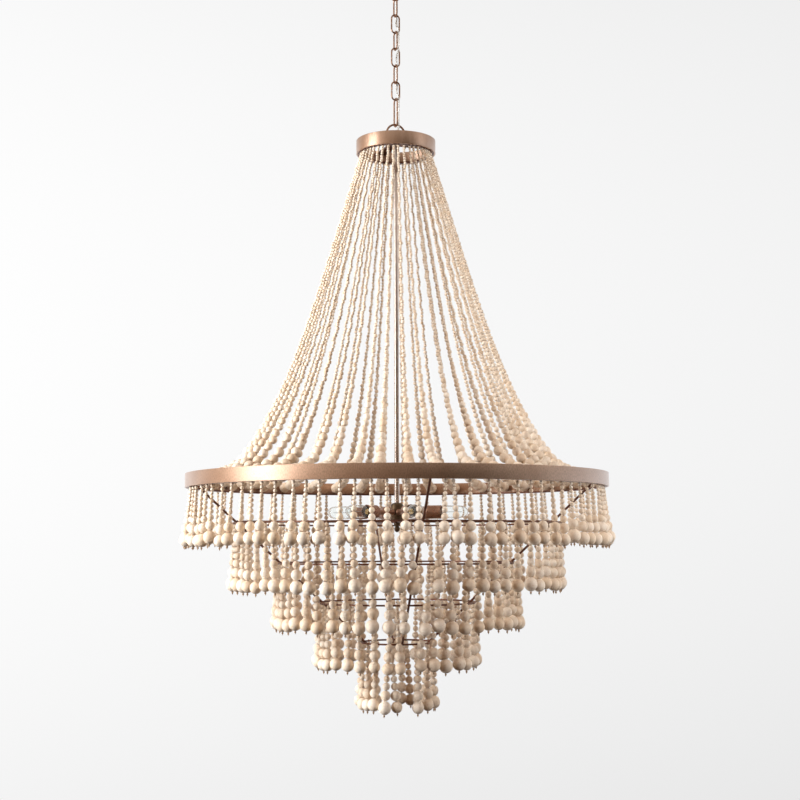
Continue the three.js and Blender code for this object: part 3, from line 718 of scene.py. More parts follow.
def fringe(tier):
    """One tier: for each string its beads from the hoop down, its cord, its loop and its knot."""
    radius = RING_RADIUS - STRAND_INSET - tier * TIER_STEP
    label = f"tier_{tier + 1}"
    node = f"{label}_fringe"
    low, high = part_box(node)
    count = LAST_TIER_STRANDS + STRAND_STEP * (TIERS - 1 - tier)
    start = high.z - HOOP_BAR if tier else ring_low.z
    seat = HOOP_BAR / 2 if tier else STRIP_THICKNESS
    flare = 0 if tier else FRINGE_FLARE
    bearings = string_bearings(count, radius)
    tops = outward(bearings) * radius + UP * start
    sizes = LOWER_TIER_BEADS if tier else FIRST_TIER_BEADS
    low_beads = rng.uniform(1 - LOW_SPREAD_SHARE, 1 + LOW_SPREAD_SHARE, count) * sizes[0] * MM
    sway = rng.uniform(-STRING_SWAY, STRING_SWAY, (count, 3)) * (1, 1, 0)
    lows = spaced_apart(outward(bearings) * (radius + flare) + sway, low_beads / 2)
    strings, cords = [], []
    for i in range(count):
        drop = start - (low.z + KNOT_LENGTH + rng.uniform(*END_SPREAD))
        beads = string_beads(sizes, drop, low_beads[i])
        centres, directions, slope, bottom = hung_string(tops[i], lows[i], drop, beads)
        strings.append((centres, beads, directions))
        cord_top = tops[i] + UP * seat
        cords.append(cord(np.array([cord_top, (cord_top + bottom) / 2, bottom])))
        cords.append(knot(bottom, unit(slope)))
        cords.append(hoop_loop(cord_top, bearings[i]) if tier else knot(cord_top, UP / 2))
    names = [f"{label}_beads"] if tier > 1 else [f"{label}_beads_{side}" for side in ("right", "left")]
    for k, name in enumerate(names):
        mine = strings[k * count // len(names) : (k + 1) * count // len(names)]
        bead_piece(name, mine, replaces=[node] if k == 0 else [])
    piece(f"{label}_cords", [(merged(cords), CORD)])
    if tier:
        hoop(f"{label}_hoop", radius, high.z)


def hoop(name, radius, top):
    """The square bar of a hoop, its edges softened."""
    half = HOOP_BAR / 2
    section = bar_section(radius - half, radius + half, top - HOOP_BAR, top)
    piece(name, [(turned(section, half / 3, segments=128), DARK)])


# Draped strings between the rings

DRAPE_SEAT_INSET = 12 * MM
DRAPE_END_RADIUS = RING_RADIUS - BAND_WALL - DRAPE_SEAT_INSET
# A string leans out evenly, bends out further and flares at its foot, by these shares and powers
DRAPE_LEAN_SHARE = 0.6
DRAPE_BEND_SHARE = 0.2
DRAPE_BEND_POWER = 5
DRAPE_FLARE_POWER = 55
DRAPE_SAMPLES = 600
DRAPE_SWAY_TOP = 2 * MM
DRAPE_SWAY_LOW = 9 * MM
# The strings' slight waves: how far they reach, and how long they are
DRAPE_WAVES = ((0.8 * MM, 31 * MM), (0.5 * MM, 17 * MM))


def drape_path(bearing):
    """The sagging, slightly wavy middle line of one string, from the top ring to the main ring."""
    s = np.linspace(0, 1, DRAPE_SAMPLES)
    start = TOP_RADIUS - DRAPE_TOP_INSET
    bent = DRAPE_LEAN_SHARE * s + DRAPE_BEND_SHARE * s**DRAPE_BEND_POWER
    swept_out = bent + (1 - DRAPE_LEAN_SHARE - DRAPE_BEND_SHARE) * s**DRAPE_FLARE_POWER
    out = start + (DRAPE_END_RADIUS - start) * swept_out
    bottom = ring_low.z + STRIP_THICKNESS + SEAT_GAP + DRAPE_BEADS[-1] / 2
    drop = (top_low.z - bottom) * s
    sway_top = rng.uniform(-DRAPE_SWAY_TOP, DRAPE_SWAY_TOP)
    sway_low = rng.uniform(-DRAPE_SWAY_LOW, DRAPE_SWAY_LOW)
    aside = sway_top + (sway_low - sway_top) * s
    # The waves fade out towards both ends
    steepness = 20
    held = np.minimum(1, steepness * s * (1 - s))
    for reach, length in DRAPE_WAVES:
        aside += held * reach * np.sin(drop / length * TURN + rng.uniform(0, TURN))
        out += held * reach * np.sin(drop / length * TURN + rng.uniform(0, TURN))
    sine, cosine = math.sin(bearing), math.cos(bearing)
    return np.stack([out * sine + aside * cosine, -out * cosine + aside * sine, top_low.z - drop], 1), s


def drape(bearing):
    """The centres, diameters and directions of one string's beads, the last at the path's end."""
    path, s = drape_path(bearing)
    lengths = np.concatenate([[0], np.cumsum(np.linalg.norm(np.diff(path, axis=0), axis=1))])
    total = lengths[-1]
    small, middle, large = DRAPE_BEADS
    at = 0
    sizes = []
    while at < total:
        share = np.interp(at, lengths, s)
        size = small + (middle - small) * share + (large - middle) * share**DRAPE_BEAD_POWER
        sizes.append(size * rng.uniform(1 - BEAD_SPREAD_SHARE, 1 + BEAD_SPREAD_SHARE))
        at += sizes[-1]
    beads = np.array(sizes) * total / (sum(sizes) - sizes[-1] / 2)
    middles = np.cumsum(beads) - beads / 2

    def along(distances):
        return np.stack([np.interp(distances, lengths, path[:, k]) for k in range(3)], 1)

    return along(middles), beads, along(middles + beads / 2) - along(middles - beads / 2)


def draped_strings():
    """The draped strings in four groups, each with its cords and the knots on the top ring."""
    spacing = TURN / DRAPE_COUNT
    first_bearing = ROD_BEARING + spacing / 2
    count = DRAPE_COUNT / len(SIDE_NAMES)
    for g, side in enumerate(SIDE_NAMES):
        first = math.ceil((g - 0.5) * count)
        last = math.ceil((g + 0.5) * count)
        strings = [drape(first_bearing + i * spacing) for i in range(first, last)]
        bead_piece(f"draped_beads_{side}", strings, [f"draped_strings_{side}"])
        cords = []
        for centres, beads, _ in strings:
            top = centres[0] + UP * beads[0] / 2
            seat = centres[-1] - UP * beads[-1] / 2
            tied = top + UP * STRIP_THICKNESS
            cords.append(cord(np.concatenate([[tied], centres, [seat]])))
            cords.append(knot(tied, UP / 2))
        piece(f"draped_cords_{side}", [(merged(cords), CORD)])


# Bands and strips

BAND_EDGE = 0.5 * MM


def bands():
    """The two flat bands, and inside them the strips that the strings are tied through."""
    # Each has a strip width and a quarter of its band's segments
    rings = (
        ("main", ring_low, ring_high, MAIN_STRIP_WIDTH, 64),
        ("top", top_low, top_high, TOP_STRIP_WIDTH, 32),
    )
    for name, low, high, _, quarter in rings:
        section = bar_section(high.x - BAND_WALL, high.x, low.z, high.z)
        band = turned(section, BAND_EDGE, quarter * 4, steps=3)
        piece(f"{name}_ring_band", [(band, BAND)], [f"{name}_ring"])
    for name, low, high, width, quarter in rings:
        inner = high.x - BAND_WALL
        section = bar_section(inner - width, inner, low.z, low.z + STRIP_THICKNESS)
        piece(f"{name}_strip", [(turned(section, BAND_EDGE, quarter * 3), DARK)])


# Chain, hanger and canopy

TWISTED = Matrix.Rotation(CHAIN_TWIST, 4, "Z")
BOW_STEPS = 40
BOW_SIDES = 16


def oval(half_width, half_height, slit, steps):
    """The middle line of a link in the XZ plane, from one side of its slit round to the other."""
    straight = half_height - half_width
    arc = math.pi * half_width
    total = 4 * straight + 2 * arc
    along = np.linspace(slit / 2, total - slit / 2, steps)
    # The second half is the first one turned about
    sign = np.where(along < total / 2, 1, -1)
    along = along % (total / 2)
    angle = np.clip((along - straight) / half_width, 0, math.pi)
    height = np.minimum(along, straight) - np.maximum(along - straight - arc, 0)
    height += half_width * np.sin(angle)
    return np.stack([-half_width * np.cos(angle) * sign, 0 * along, height * sign], 1)


def link(name, node, body, eye, pitch, crosswise):
    """One link, which hangs in the eye above and holds the next one a pitch lower."""
    half_height = (pitch + SEAT_GAP + LINK_WIRE) / 2
    path = oval((LINK_WIDTH - LINK_WIRE) / 2, half_height, LINK_SLIT, steps=72)
    place = Matrix.Translation((0, 0, eye + LINK_WIRE / 2 - half_height)) @ TWISTED
    if crosswise:
        place = place @ Matrix.Rotation(TURN / 4, 4, "Z")
    wire = moved(swept(path, LINK_WIRE / 2, sides=14), place)
    piece(name, [(wire, CHAIN)], [node], body)


def chain():
    """Links that stand crosswise to each other by turns, and the long link below them."""
    for i in range(LINK_COUNT):
        body = "top_link" if i == 0 else "chain"
        name = f"chain_link_{i + 1}"
        link(f"{name}_wire", name, body, FIRST_EYE - i * LINK_PITCH, LINK_PITCH, i % 2 == 0)
    link("long_link_wire", "chain_long_link", "long_link", LONG_EYE, LONG_LINK_PITCH, LINK_COUNT % 2 == 0)


def bow(half_width, leg, wire, upward):
    """A bent wire in the XZ plane, with its bend above its legs or below them."""
    angles = np.linspace(0, math.pi, BOW_STEPS)
    bend = np.stack([-half_width * np.cos(angles), 0 * angles, half_width * np.sin(angles)], 1)
    legs = np.array([[-half_width, 0, -leg], [-half_width, 0, -leg / 2]])
    path = np.concatenate([legs, bend, legs[::-1] * (-1, 1, 1)])
    return swept(path * (1, 1, 1 if upward else -1), wire / 2, BOW_SIDES)


def hanger():
    place = TWISTED @ Matrix.Translation((0, 0, HANGER_CENTRE))
    wire = moved(bow(HANGER_HALF_WIDTH, HANGER_LEG, HANGER_WIRE, upward=True), place)
    piece("hanger_bow_wire", [(wire, CHAIN)], ["hanger_bow"])


def canopy():
    """The thin domed shell below the ceiling."""
    radius = CANOPY_RADIUS
    depth = -canopy_low.z
    wall = 1.5 * MM
    hole = 9.6 * MM
    soft_edge = 3 * MM
    inner_drop_share = 0.6
    outline_shares = ((1, 0.2), (0.97, 0.42), (0.88, 0.66), (0.7, 0.86), (0.4, 0.985))
    outside = [(radius * r, -depth * z) for r, z in outline_shares]
    drop = wall * inner_drop_share
    inside = [(r - wall if r > hole + wall else r, z + drop) for r, z in reversed(outside)]
    section = [(radius - wall, 0), (radius, 0), *outside, (hole, -depth), (hole, wall - depth), *inside]
    shell = turned(section, soft_edge, segments=96, steps=3)
    piece("ceiling_canopy_shell", [(shell, BRONZE)], ["ceiling_canopy"], "canopy")


def turned_loop():
    """The threaded boss and the loop below the canopy."""
    boss_top = FOOT_TOP + 18 * MM
    bore = 2.6 * MM
    outer = 9 * MM
    foot = 11.5 * MM
    soft_edge = 0.8 * MM
    section = [(bore, FOOT_BOTTOM), (foot, FOOT_BOTTOM), (foot, FOOT_TOP)]
    section += [(outer, FOOT_TOP), (outer, boss_top), (bore, boss_top)]
    leg = FOOT_BOTTOM - LOOP_CENTRE + LOOP_WIRE / 2
    loop = bow(LOOP_HALF_WIDTH, leg, LOOP_WIRE, upward=False)
    shapes = [turned(section, soft_edge, segments=48, steps=3)]
    shapes.append(moved(loop, Matrix.Translation((0, 0, LOOP_CENTRE))))
    piece("canopy_loop_casting", [(merged(shapes), BRONZE)], ["canopy_loop"], "canopy")


def collar():
    """The knurled collar that holds the canopy up."""
    low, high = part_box("loop_collar")
    bore = 9.4 * MM
    soft_edge = 0.9 * MM
    ridges = 30
    ridge_share = 0.02
    section = bar_section(bore, high.x, low.z, high.z)
    points, quads, tris = turned(section, soft_edge, segments=ridges * 4, steps=3)
    bearing = np.arctan2(points[:, 0], -points[:, 1])
    out = np.linalg.norm(points[:, :2], axis=1)
    inward = (np.cos(bearing * ridges) > 0) & (out > high.x - soft_edge)
    points[:, :2] *= np.where(inward, 1 - ridge_share, 1)[:, None]
    piece("loop_collar_ring", [((points, quads, tris), BRONZE)], ["loop_collar"], "canopy")


def nipple():
    """The pipe through the strap, boss and canopy, with ridges for its thread."""
    low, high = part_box("canopy_nipple")
    bore = 3.75 * MM
    pitch = 1 * MM
    groove = 0.4 * MM
    crest_share, groove_share, last_share = 0.1, 0.6, 0.2
    rows = [(bore, high.z), (bore, low.z)]
    height = low.z
    while height < high.z - pitch:
        rows.append((high.x, height + pitch * crest_share))
        rows.append((high.x - groove, height + pitch * groove_share))
        height += pitch
    rows.append((high.x, high.z - pitch * last_share))
    thread = revolved(rows, segments=32)
    piece("canopy_nipple_thread", [(thread, ZINC)], ["canopy_nipple"], "canopy")


def hex_nut(low, high, corner, bore):
    """A nut with its top and bottom corners turned off."""
    chamfer_share, flat_share = 0.16, 0.9
    chamfer = (high - low) * chamfer_share
    flat = corner * flat_share
    lower = [(bore, low), (flat, low), (corner, low + chamfer)]
    upper = [(corner, high - chamfer), (flat, high), (bore, high)]
    return revolved(lower + upper, segments=6)


def nuts():
    """Hexagonal nuts. Each kind is its corner radius, its bore and its turn."""
    sharp_angle = 20
    pipe_nut = (9 * MM, 5.3 * MM, 0)
    hanger_nut = (4.6 * MM, 2.3 * MM, CHAIN_TWIST)
    for node, body, (corner, bore, twist) in (
        ("nipple_nut", "canopy", pipe_nut),
        ("stem_nut_upper", "frame", pipe_nut),
        ("stem_nut_lower", "frame", pipe_nut),
        ("hanger_nut_left", "frame", hanger_nut),
        ("hanger_nut_right", "frame", hanger_nut),
    ):
        low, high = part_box(node)
        middle = (low + high) / 2
        place = Matrix.Translation((middle.x, middle.y, 0)) @ Matrix.Rotation(twist, 4, "Z")
        nut = moved(hex_nut(low.z, high.z, corner, bore), place)
        piece(f"{node}_hex", [(nut, ZINC)], [node], body, sharp=sharp_angle)


# Lead

LEAD_LOBE = 1.25 * MM
LEAD_LOBE_OFFSET = 1 * MM
LEAD_TURNS = 5
BENDING_JOINTS = ("top_link_swing", "chain_swing", "long_link_swing", "frame_swing")


def smooth_route(points, steps):
    """A centripetal curve through the route's points, as the part draws it."""
    points = np.asarray(points, float)
    first = 2 * points[0] - points[1]
    last = 2 * points[-1] - points[-2]
    padded = np.concatenate([[first], points, [last]])
    result = []
    for i in range(len(points) - 1):
        p = padded[i : i + 4]
        t = np.concatenate([[0], np.cumsum(np.linalg.norm(np.diff(p, axis=0), axis=1) ** 0.5)])
        for u in np.linspace(t[1], t[2], steps, endpoint=False):
            a = [((t[k + 1] - u) * p[k] + (u - t[k]) * p[k + 1]) / (t[k + 1] - t[k]) for k in range(3)]
            b = [((t[k + 2] - u) * a[k] + (u - t[k]) * a[k + 1]) / (t[k + 2] - t[k]) for k in range(2)]
            result.append(((t[2] - u) * b[0] + (u - t[1]) * b[1]) / (t[2] - t[1]))
    result.append(points[-1])
    return np.array(result)


def lead_route():
    """The lead's middle line from the nipple down beside the links and into the stem."""
    side = LINK_WIRE / 2 + LEAD_DIAMETER / 2 + LEAD_CLEARANCE
    points = [(0, 0, -LEAD_IN_NIPPLE), (0, 0, FOOT_TOP), (0, 0, FOOT_BOTTOM)]
    face = 1
    for i in range(LINK_COUNT + 2):
        eye = FIRST_EYE - i * LINK_PITCH if i <= LINK_COUNT else HANGER_EYE
        points += [(side, face * side, eye + LINK_WIRE), (side, face * side, eye - LINK_WIRE)]
        if i % 2 == 1 and i < LINK_COUNT:
            points.append((LEAD_CROSSING, 0, eye - LINK_PITCH / 2))
            face = -face
    points += [(0, 0, stem_high.z + LEAD_DIAMETER), (0, 0, stem_high.z - LEAD_IN_STEM)]
    route = smooth_route(points, steps=10)
    return route @ np.array(TWISTED.to_3x3()).T


def lead_lobes(route):
    """The middle lines of two insulated lobes side by side, which twist slowly."""
    along = unit(np.gradient(route, axis=0))
    side = unit(np.cross(along, (0.0, 1.0, 0.0)))
    up = np.cross(along, side)
    twist = (LEAD_TURNS * TURN * np.arange(len(route)) / len(route))[:, None]
    offset = LEAD_LOBE_OFFSET * (np.cos(twist) * side + np.sin(twist) * up)
    return route + offset, route - offset


def lead():
    """The lead in four lengths. Each spans one joint and meets the next on a single body."""
    route = lead_route()
    lobes = lead_lobes(route)
    joints = {joint["name"]: joint for joint in frame["joints"]}
    heights = [joints[name]["pos_m"][2] for name in BENDING_JOINTS]
    cuts = [(a + b) / 2 for a, b in zip(heights, heights[1:])]
    marks = [0, *[int(np.argmin(np.abs(route[:, 2] - cut))) for cut in cuts], len(route) - 1]
    for i, name in enumerate(BENDING_JOINTS):
        part = slice(marks[i], marks[i + 1] + 1)
        made = merged([swept(lobe[part], LEAD_LOBE, sides=10) for lobe in lobes])
        nodes = ["power_lead"] if i == 0 else []
        made_piece = piece(f"power_lead_{i + 1}", [(made, VINYL)], nodes, body=None)
        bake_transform(made_piece)


# Stem, hub, rods and arms

ROD_SIDES = 14


def stem():
    """The tube from the cross plate down to the hub."""
    bore = 3.5 * MM
    soft_edge = 0.4 * MM
    section = bar_section(bore, stem_high.x, stem_low.z, stem_high.z)
    piece("centre_stem_tube", [(turned(section, soft_edge, segments=48), STEM)], ["centre_stem"])


def hub():
    """The turned body in the middle of the lamps, with a groove round its foot."""
    low, high = hub_low.z, hub_high.z
    radius = hub_high.x
    bore = 3.2 * MM
    counterbore = 5.3 * MM
    seat = high - 8 * MM
    soft_edge = 0.4 * MM
    foot_steps = ((-1, 0), (0, 1.5), (0, 4), (-0.8, 4.6), (-0.8, 5.6), (0, 6.2))
    shoulder_steps = ((0, -4), (-3, -0.6))
    section = [(bore, low), *stepped(radius, low, foot_steps), *stepped(radius, high, shoulder_steps)]
    section += [(counterbore, high), (counterbore, seat), (bore, seat)]
    piece("lamp_hub_body", [(turned(section, soft_edge, segments=48), HUB)], ["lamp_hub"])


def finial():
    """The turned knob below the hub, with its threaded post."""
    top = spider_low.z - SEAT_GAP
    height = top - finial_low.z
    radius = 6.5 * MM
    post = 3 * MM
    soft_edge = 0.8 * MM
    neck_shares = ((1, 0), (1, 0.16), (0.6, 0.3), (0.5, 0.38))
    knob_shares = ((0.8, 0.5), (0.88, 0.64), (0.75, 0.82), (0.35, 0.96))
    rows = [(0, finial_high.z), (post, finial_high.z), (post, top)]
    rows += [(radius * r, top - height * z) for r, z in neck_shares + knob_shares]
    rows.append((0, finial_low.z))
    knob = turned(rows, soft_edge, segments=36, closed=False)
    piece("hub_finial_knob", [(knob, HUB)], ["hub_finial"])


def rod_ends(name):
    """The middles of a frame rod's two ends, lower first."""
    points = np.array([vertex.co for vertex in frame["nodes"][name].data.vertices])
    lower = points[:, 2] < points[:, 2].mean()
    return points[lower].mean(0), points[~lower].mean(0)


def on_rod(name, height):
    """The place on a frame rod at a height, and the way out from the axis there."""
    low, high = rod_ends(name)
    place = low + (high - low) * (height - low[2]) / (high[2] - low[2])
    return place, unit(place * (1, 1, 0))


def ball(place, radius, segments=12, rings=6):
    steps = np.linspace(math.pi, 0, rings + 1)
    rows = np.stack([np.sin(steps), np.cos(steps)], 1) * radius
    return moved(revolved(rows, segments, closed=False), Matrix.Translation(place))


def frame_rods():
    """Each rod, with a small drop of braze where it meets a hoop."""
    out_share, drop_share = 0.7, 0.95
    for side in SIDE_NAMES:
        name = f"frame_rod_{side}"
        shapes = [swept(np.linspace(*rod_ends(name), 8), ROD_RADIUS, ROD_SIDES)]
        for tier in range(1, TIERS):
            place, out = on_rod(name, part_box(f"tier_{tier + 1}_fringe")[1].z - HOOP_BAR / 2)
            shapes.append(ball(place + out * ROD_RADIUS * out_share, ROD_RADIUS * drop_share))
        piece(f"{name}_wire", [(merged(shapes), DARK)], [name])


def arm_spider():
    """A flat disc under the hub with an arm to each frame rod."""
    middle = (spider_low.z + spider_high.z) / 2
    half = 2.5 * MM
    bore = 3.2 * MM
    disc = 14 * MM
    overlap = 2 * MM
    soft_edge = 0.8 * MM
    gap_share, ball_share = 1.3, 1.2
    section = bar_section(bore, disc, middle - half, middle + half)
    shapes = [turned(section, soft_edge, segments=40)]
    for side in SIDE_NAMES:
        place, out = on_rod(f"frame_rod_{side}", middle)
        start = out * (disc - overlap) + UP * middle
        end = place - out * ROD_RADIUS * gap_share
        shapes.append(swept(np.linspace(start, end, 6), ROD_RADIUS, ROD_SIDES))
        shapes.append(ball(end, ROD_RADIUS * ball_share))
    piece("arm_spider_wires", [(merged(shapes), DARK)], ["arm_spider"])


# Lamps. Each is built upwards, so that up becomes the way out from the hub.


def lamp_place(number):
    bearing = LAMP_BEARING + (number - 1) / LAMP_COUNT * TURN
    upright = Matrix.Rotation(bearing, 4, "Z") @ Matrix.Rotation(TURN / 4, 4, "X")
    return Matrix.Translation((0, 0, LAMP_HEIGHT)) @ upright


def lamp_cup():
    """The arm with its flange and neck, and the cup at its end."""
    floor = CUP_START + CUP_TAPER + CUP_WALL
    inner = CUP_RADIUS - CUP_WALL
    soft_edge = 0.5 * MM
    shoulder = 1 * MM
    flange_steps = ((1.5, 0), (1.5, 2.5), (0, 4))
    neck_steps = ((0, -3), (1.2, -2), (1.2, 0))
    rim_steps = ((0, -2), (0.4, -1), (0, 0))
    rows = [(0, ARM_START), *stepped(ARM_RADIUS, ARM_START, flange_steps)]
    rows += stepped(ARM_RADIUS, CUP_START, neck_steps)
    rows += [(CUP_RADIUS - shoulder, CUP_START + shoulder), (CUP_RADIUS, CUP_START + CUP_TAPER)]
    rows += stepped(CUP_RADIUS, CUP_END, rim_steps)
    rows += [(inner, CUP_END), (inner, floor), (0, floor)]
    return turned(rows, soft_edge, segments=48, closed=False)


def lamp_socket():
    """A moulded holder with a brass screw shell inside its bore."""
    bore = CAP_RADIUS + 0.6 * MM
    floor = CAP_START - 1 * MM
    soft_edge = 0.4 * MM
    foot_steps = ((-1, 0), (0, 1.5))
    rows = [(0, HOLDER_START), *stepped(HOLDER_RADIUS, HOLDER_START, foot_steps)]
    rows += [(HOLDER_RADIUS, HOLDER_END), (bore, HOLDER_END), (bore, floor), (0, floor)]
    body = turned(rows, soft_edge, segments=36, closed=False)
    shell = bore - 0.1 * MM
    inside = shell - 0.3 * MM
    bottom = floor + 1 * MM
    top = HOLDER_END - 2 * MM
    liner = revolved(bar_section(inside, shell, bottom, top), segments=36)
    return [(body, PHENOLIC), (liner, BRASS)]


def bulb_glass():
    """A clear envelope, open at its foot, with a rounded tip."""
    neck = CAP_RADIUS - 0.5 * MM
    overlap = 0.5 * MM
    wall = 0.6 * MM
    shares = ((0.62, 0.04), (0.9, 0.14), (1, 0.3), (1, 0.6), (0.93, 0.78), (0.74, 0.9), (0.36, 0.985))
    outline = [(neck, 0, -overlap)] + [(BULB_RADIUS * r, 0, BULB_LENGTH * z) for r, z in shares]
    outside = smooth_route(outline, steps=4)[:, [0, 2]] + (0, GLASS_START)
    along = unit(np.gradient(outside, axis=0))
    inside = outside - along[:, ::-1] * (1, -1) * wall
    tip = GLASS_START + BULB_LENGTH
    return revolved([(0, tip - wall), *inside[::-1], *outside, (0, tip)], segments=40, closed=False)


def bulb_cap():
    """The brass screw cap with its contact."""
    pitch = 2.4 * MM
    contact = 2 * MM
    groove = 0.7 * MM
    soft_edge = 0.5 * MM
    bottom = CAP_START - 0.2 * MM
    thread_start = CAP_START + 2 * MM
    thread_end = GLASS_START - 3 * MM
    foot_steps = ((-1.2, 1.2),)
    collar_steps = ((-0.2, -1.5), (-0.2, 0))
    rows = [(0, bottom), (contact, bottom), *stepped(CAP_RADIUS, CAP_START, foot_steps)]
    for height in np.arange(thread_start, thread_end, pitch):
        rows += [(CAP_RADIUS, height), (CAP_RADIUS - groove, height + pitch / 2)]
    rows += [*stepped(CAP_RADIUS, GLASS_START, collar_steps), (0, GLASS_START)]
    return turned(rows, soft_edge, segments=32, closed=False)


def bulb_stem():
    """The glass stem inside the bulb that holds the wires."""
    soft_edge = 0.6 * MM
    steps = ((0, 0), (2.2, 0), (1.4, 10), (1.8, 13), (0, 14))
    return turned(stepped(0, GLASS_START, steps), soft_edge, segments=16, closed=False)


def bulb_wires():
    """Two support wires and a hairpin filament between them."""
    spread = 3 * MM
    support_radius = 0.3 * MM
    filament_radius = 0.35 * MM
    foot = 12 * MM
    top = 20 * MM
    reach = 22 * MM
    shapes = []
    for sign in (-1, 1):
        path = [(sign * spread / 4, 0, foot), (sign * spread, 0, top - spread), (sign * spread, 0, top)]
        shapes.append(swept(path, support_radius, sides=6))
    angles = np.linspace(0, math.pi, 60)
    hairpin = np.stack([-spread * np.cos(angles), 0 * angles, top + reach * np.sin(angles)], 1)
    shapes.append(swept(hairpin, filament_radius, sides=6))
    return moved(merged(shapes), Matrix.Translation((0, 0, GLASS_START)))


def lamps():
    """Each lamp's arm and cup, holder and bulb. The bulb has a body of its own."""
    lamp = [(bulb_glass(), GLASS), (bulb_cap(), BRASS), (bulb_stem(), GLASS), (bulb_wires(), TUNGSTEN)]
    kinds = (
        ("lamp_arm", "cup", [(lamp_cup(), CUP)]),
        ("lamp_holder", "socket", lamp_socket()),
        ("bulb", "glass", lamp),
    )
    for i in range(1, LAMP_COUNT + 1):
        for kind, ending, layers in kinds:
            placed = [(moved(made, lamp_place(i)), finish) for made, finish in layers]
            node = f"{kind}_{i}"
            piece(f"{node}_{ending}", placed, [node], node if kind == "bulb" else "frame")


def cad_finishes():
    """Better materials for the CAD nodes that keep their own shape."""
    for node, (_, material) in (("canopy_strap", ZINC), ("top_plate", DARK)):
        mesh = frame["nodes"][node].data
        mesh.materials.clear()
        mesh.materials.append(material)


# Studio

FLOOR_HEIGHT = -2500 * MM
FLOOR_RADIUS = 4000 * MM
FLOOR_DEPTH = 10 * MM
FLOOR_DARK = (0.8, 0.8, 0.8)
FLOOR_LIGHT = (0.84, 0.84, 0.84)
FLOOR_GLOW = 0.6
AIM_HEIGHT = -900 * MM
# What the metal mirrors: the colour straight behind, and one for each bearing in degrees
BEHIND = (1.0, 1.0, 1.0)
SURROUNDINGS = (
    (-140, (1.1, 1.12, 1.15)),
    (-114, (0.62, 0.5, 0.4)),
    (-50, (0.4, 0.32, 0.25)),
    (-25, (0.28, 0.21, 0.16)),
    (10, (0.06, 0.04, 0.03)),
    (22, (0.01, 0.007, 0.005)),
    (45, (0.01, 0.01, 0.01)),
    (85, (0.4, 0.43, 0.46)),
    (105, (0.7, 0.8, 0.92)),
    (135, (0.85, 0.92, 1.0)),
)
# Above and below the walls: the colours, and between which heights they come in
SKY = (0.56, 0.52, 0.48)
SKY_HEIGHTS = (0.2, 0.36)
GROUND = (0.1, 0.07, 0.05)
GROUND_HEIGHTS = (-0.2, -0.5)
# The colour of the light that reaches the beads' shaded sides
SHADE_TINT = (0.36, 0.21, 0.12)
# The backdrop's grey: its level, its fall to the right, and its fall up and down from a height
BACKDROP_LEVEL = 0.945
BACKDROP_SLOPE = 0.17
BACKDROP_BEND = 0.9
BACKDROP_HEIGHT = 0.15
WHITE = (1, 1, 1)
COOL = (0.95, 0.98, 1)
WARM = (1, 0.84, 0.7)
# Each panel's bearing, distance and level, its width and height, its radiance and its colour
PANELS = {
    "key": (-71, 2.7, -0.6, 1.3, 2.6, 15, COOL),
    "key_shine": (-68, 2.7, -0.6, 1.0, 2.6, 6.2, COOL),
    "back": (180, 3.0, -0.9, 3.2, 2.6, 0.3, WHITE),
    "fill": (62, 1.5, -0.75, 0.8, 1.6, 3.8, WHITE),
    "front_top": (-5, 2.2, 0.8, 1.6, 1.2, 0.7, WARM),
    "top": (0, 0.3, 1.6, 2.6, 2.6, 0.45, WARM),
    "right_high": (75, 2.7, 0.3, 1.4, 1.0, 0.8, WHITE),
}
# Panels that light without a highlight, and panels that only make one
MATT_PANELS = ("key", "fill", "front_top", "top")
SHINE_PANELS = ("key_shine",)


def camera():
    data = bpy.data.cameras.new("camera")
    data.lens = CAMERA_LENS
    made = add_object("camera", data)
    tilt = Matrix.Rotation(CAMERA_TILT, 4, "X")
    roll = Matrix.Rotation(CAMERA_ROLL, 4, "Z")
    made.matrix_world = Matrix.Translation(CAMERA_PLACE) @ tilt @ roll
    bpy.context.scene.camera = made


def surroundings(tree, bearing, height):
    """The studio that the metal and the beads see round about."""
    ramp = add_node(tree, "ShaderNodeValToRGB")
    stops = ramp.color_ramp.elements
    stops[0].color = (*BEHIND, 1)
    stops[1].color = (*BEHIND, 1)
    for degrees, colour in SURROUNDINGS:
        stops.new((degrees + 180) / 360).color = (*colour, 1)
    feed(tree, ramp, {"Fac": remapped(tree, bearing, (-math.pi, math.pi))})
    walls = colour_between(tree, remapped(tree, height, SKY_HEIGHTS), ramp.outputs["Color"], SKY)
    return colour_between(tree, remapped(tree, height, GROUND_HEIGHTS), walls, GROUND)


def backdrop(tree, across, height):
    """The pale paper behind the object, brightest at the left."""
    off = arithmetic(tree, "SUBTRACT", height, BACKDROP_HEIGHT)
    bend = arithmetic(tree, "MULTIPLY", arithmetic(tree, "MULTIPLY", off, off), BACKDROP_BEND)
    slope = arithmetic(tree, "MULTIPLY", across, BACKDROP_SLOPE)
    return arithmetic(tree, "SUBTRACT", arithmetic(tree, "SUBTRACT", BACKDROP_LEVEL, slope), bend)


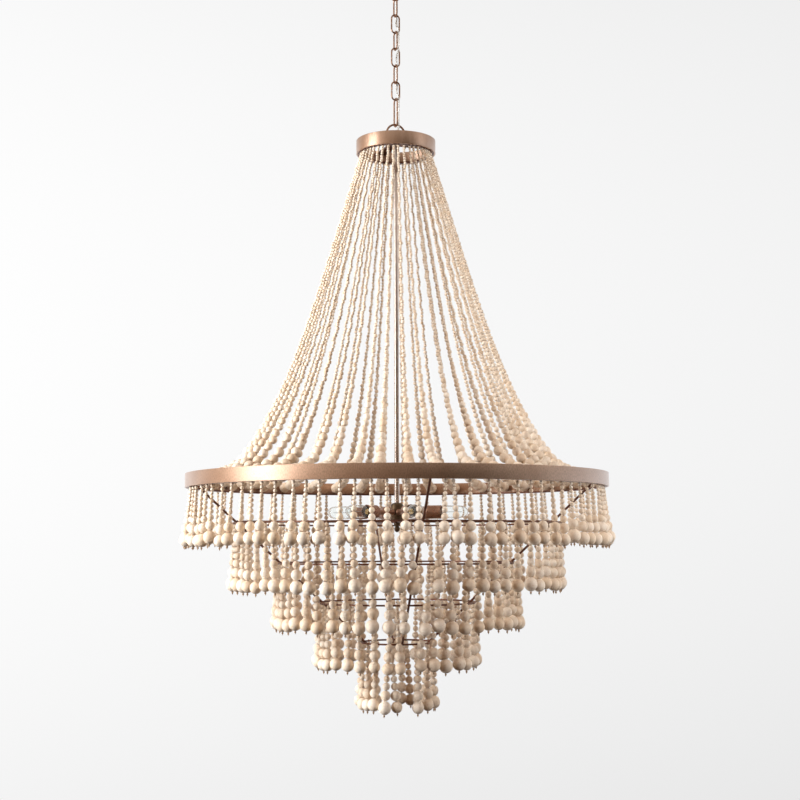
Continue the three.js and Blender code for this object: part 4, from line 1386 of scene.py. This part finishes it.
def studio_world():
    """The backdrop for what is seen directly or through glass, and the studio for everything else."""
    world = bpy.data.worlds.new("studio")
    bpy.context.scene.world = world
    world.use_nodes = True
    tree = world.node_tree
    tree.nodes.clear()
    direction = add_node(tree, "ShaderNodeTexCoord").outputs["Generated"]
    bearing, height, across = bearing_of(tree, direction)
    paths = add_node(tree, "ShaderNodeLightPath").outputs
    seen = arithmetic(tree, "MAXIMUM", paths["Is Camera Ray"], paths["Is Transmission Ray"])
    around = surroundings(tree, bearing, height)
    tint = colour_between(tree, paths["Is Diffuse Ray"], WHITE, SHADE_TINT)
    tinted = add_node(tree, "ShaderNodeVectorMath", {0: around, 1: tint}, operation="MULTIPLY")
    colour = colour_between(tree, seen, tinted.outputs["Vector"], backdrop(tree, across, height))
    background = add_node(tree, "ShaderNodeBackground", {"Color": colour})
    add_node(tree, "ShaderNodeOutputWorld", {"Surface": background.outputs["Background"]})


def panel(name, bearing, distance, height, width, tall, radiance, colour):
    """A soft panel that faces the object."""
    data = bpy.data.lights.new(name, "AREA")
    data.shape = "RECTANGLE"
    data.size = width
    data.size_y = tall
    data.energy = radiance * math.pi * width * tall
    data.color = colour
    made = add_object(name, data)
    place = Vector(outward(math.radians(bearing)) * distance + UP * height)
    made.rotation_euler = (Vector((0, 0, AIM_HEIGHT)) - place).to_track_quat("-Z", "Y").to_euler()
    made.location = place
    made.visible_camera = False
    made.visible_transmission = False
    made.visible_glossy = name not in MATT_PANELS
    made.visible_diffuse = name not in SHINE_PANELS


def studio_floor():
    """A pale round floor that stays out of the object's own light and reflections."""
    material, tree, shader = new_material("studio_floor")
    tone = colour_between(tree, noise(tree, place_on(tree), scale=3), FLOOR_DARK, FLOOR_LIGHT)
    looks = {"Base Color": tone, "Roughness": 0.8, "Emission Color": tone, "Emission Strength": FLOOR_GLOW}
    feed(tree, shader, looks)
    mesh = bpy.data.meshes.new("floor")
    rows = [(0, FLOOR_HEIGHT - FLOOR_DEPTH), (FLOOR_RADIUS, FLOOR_HEIGHT), (0, FLOOR_HEIGHT)]
    points, quads, tris = revolved(rows, segments=96, closed=False)
    mesh.from_pydata(points.tolist(), [], quads.tolist() + tris.tolist())
    mesh.materials.append(material)
    floor = add_object("floor", mesh)
    floor.visible_diffuse = False
    floor.visible_glossy = False


def studio():
    studio_world()
    for name, values in PANELS.items():
        panel(name, *values)
    studio_floor()
    bpy.context.scene.view_settings.view_transform = "Standard"


camera()
studio()
lead()
canopy()
turned_loop()
collar()
nipple()
nuts()
chain()
hanger()
bands()
stem()
hub()
finial()
frame_rods()
arm_spider()
lamps()
for tier_number in range(TIERS):
    fringe(tier_number)
draped_strings()
cad_finishes()
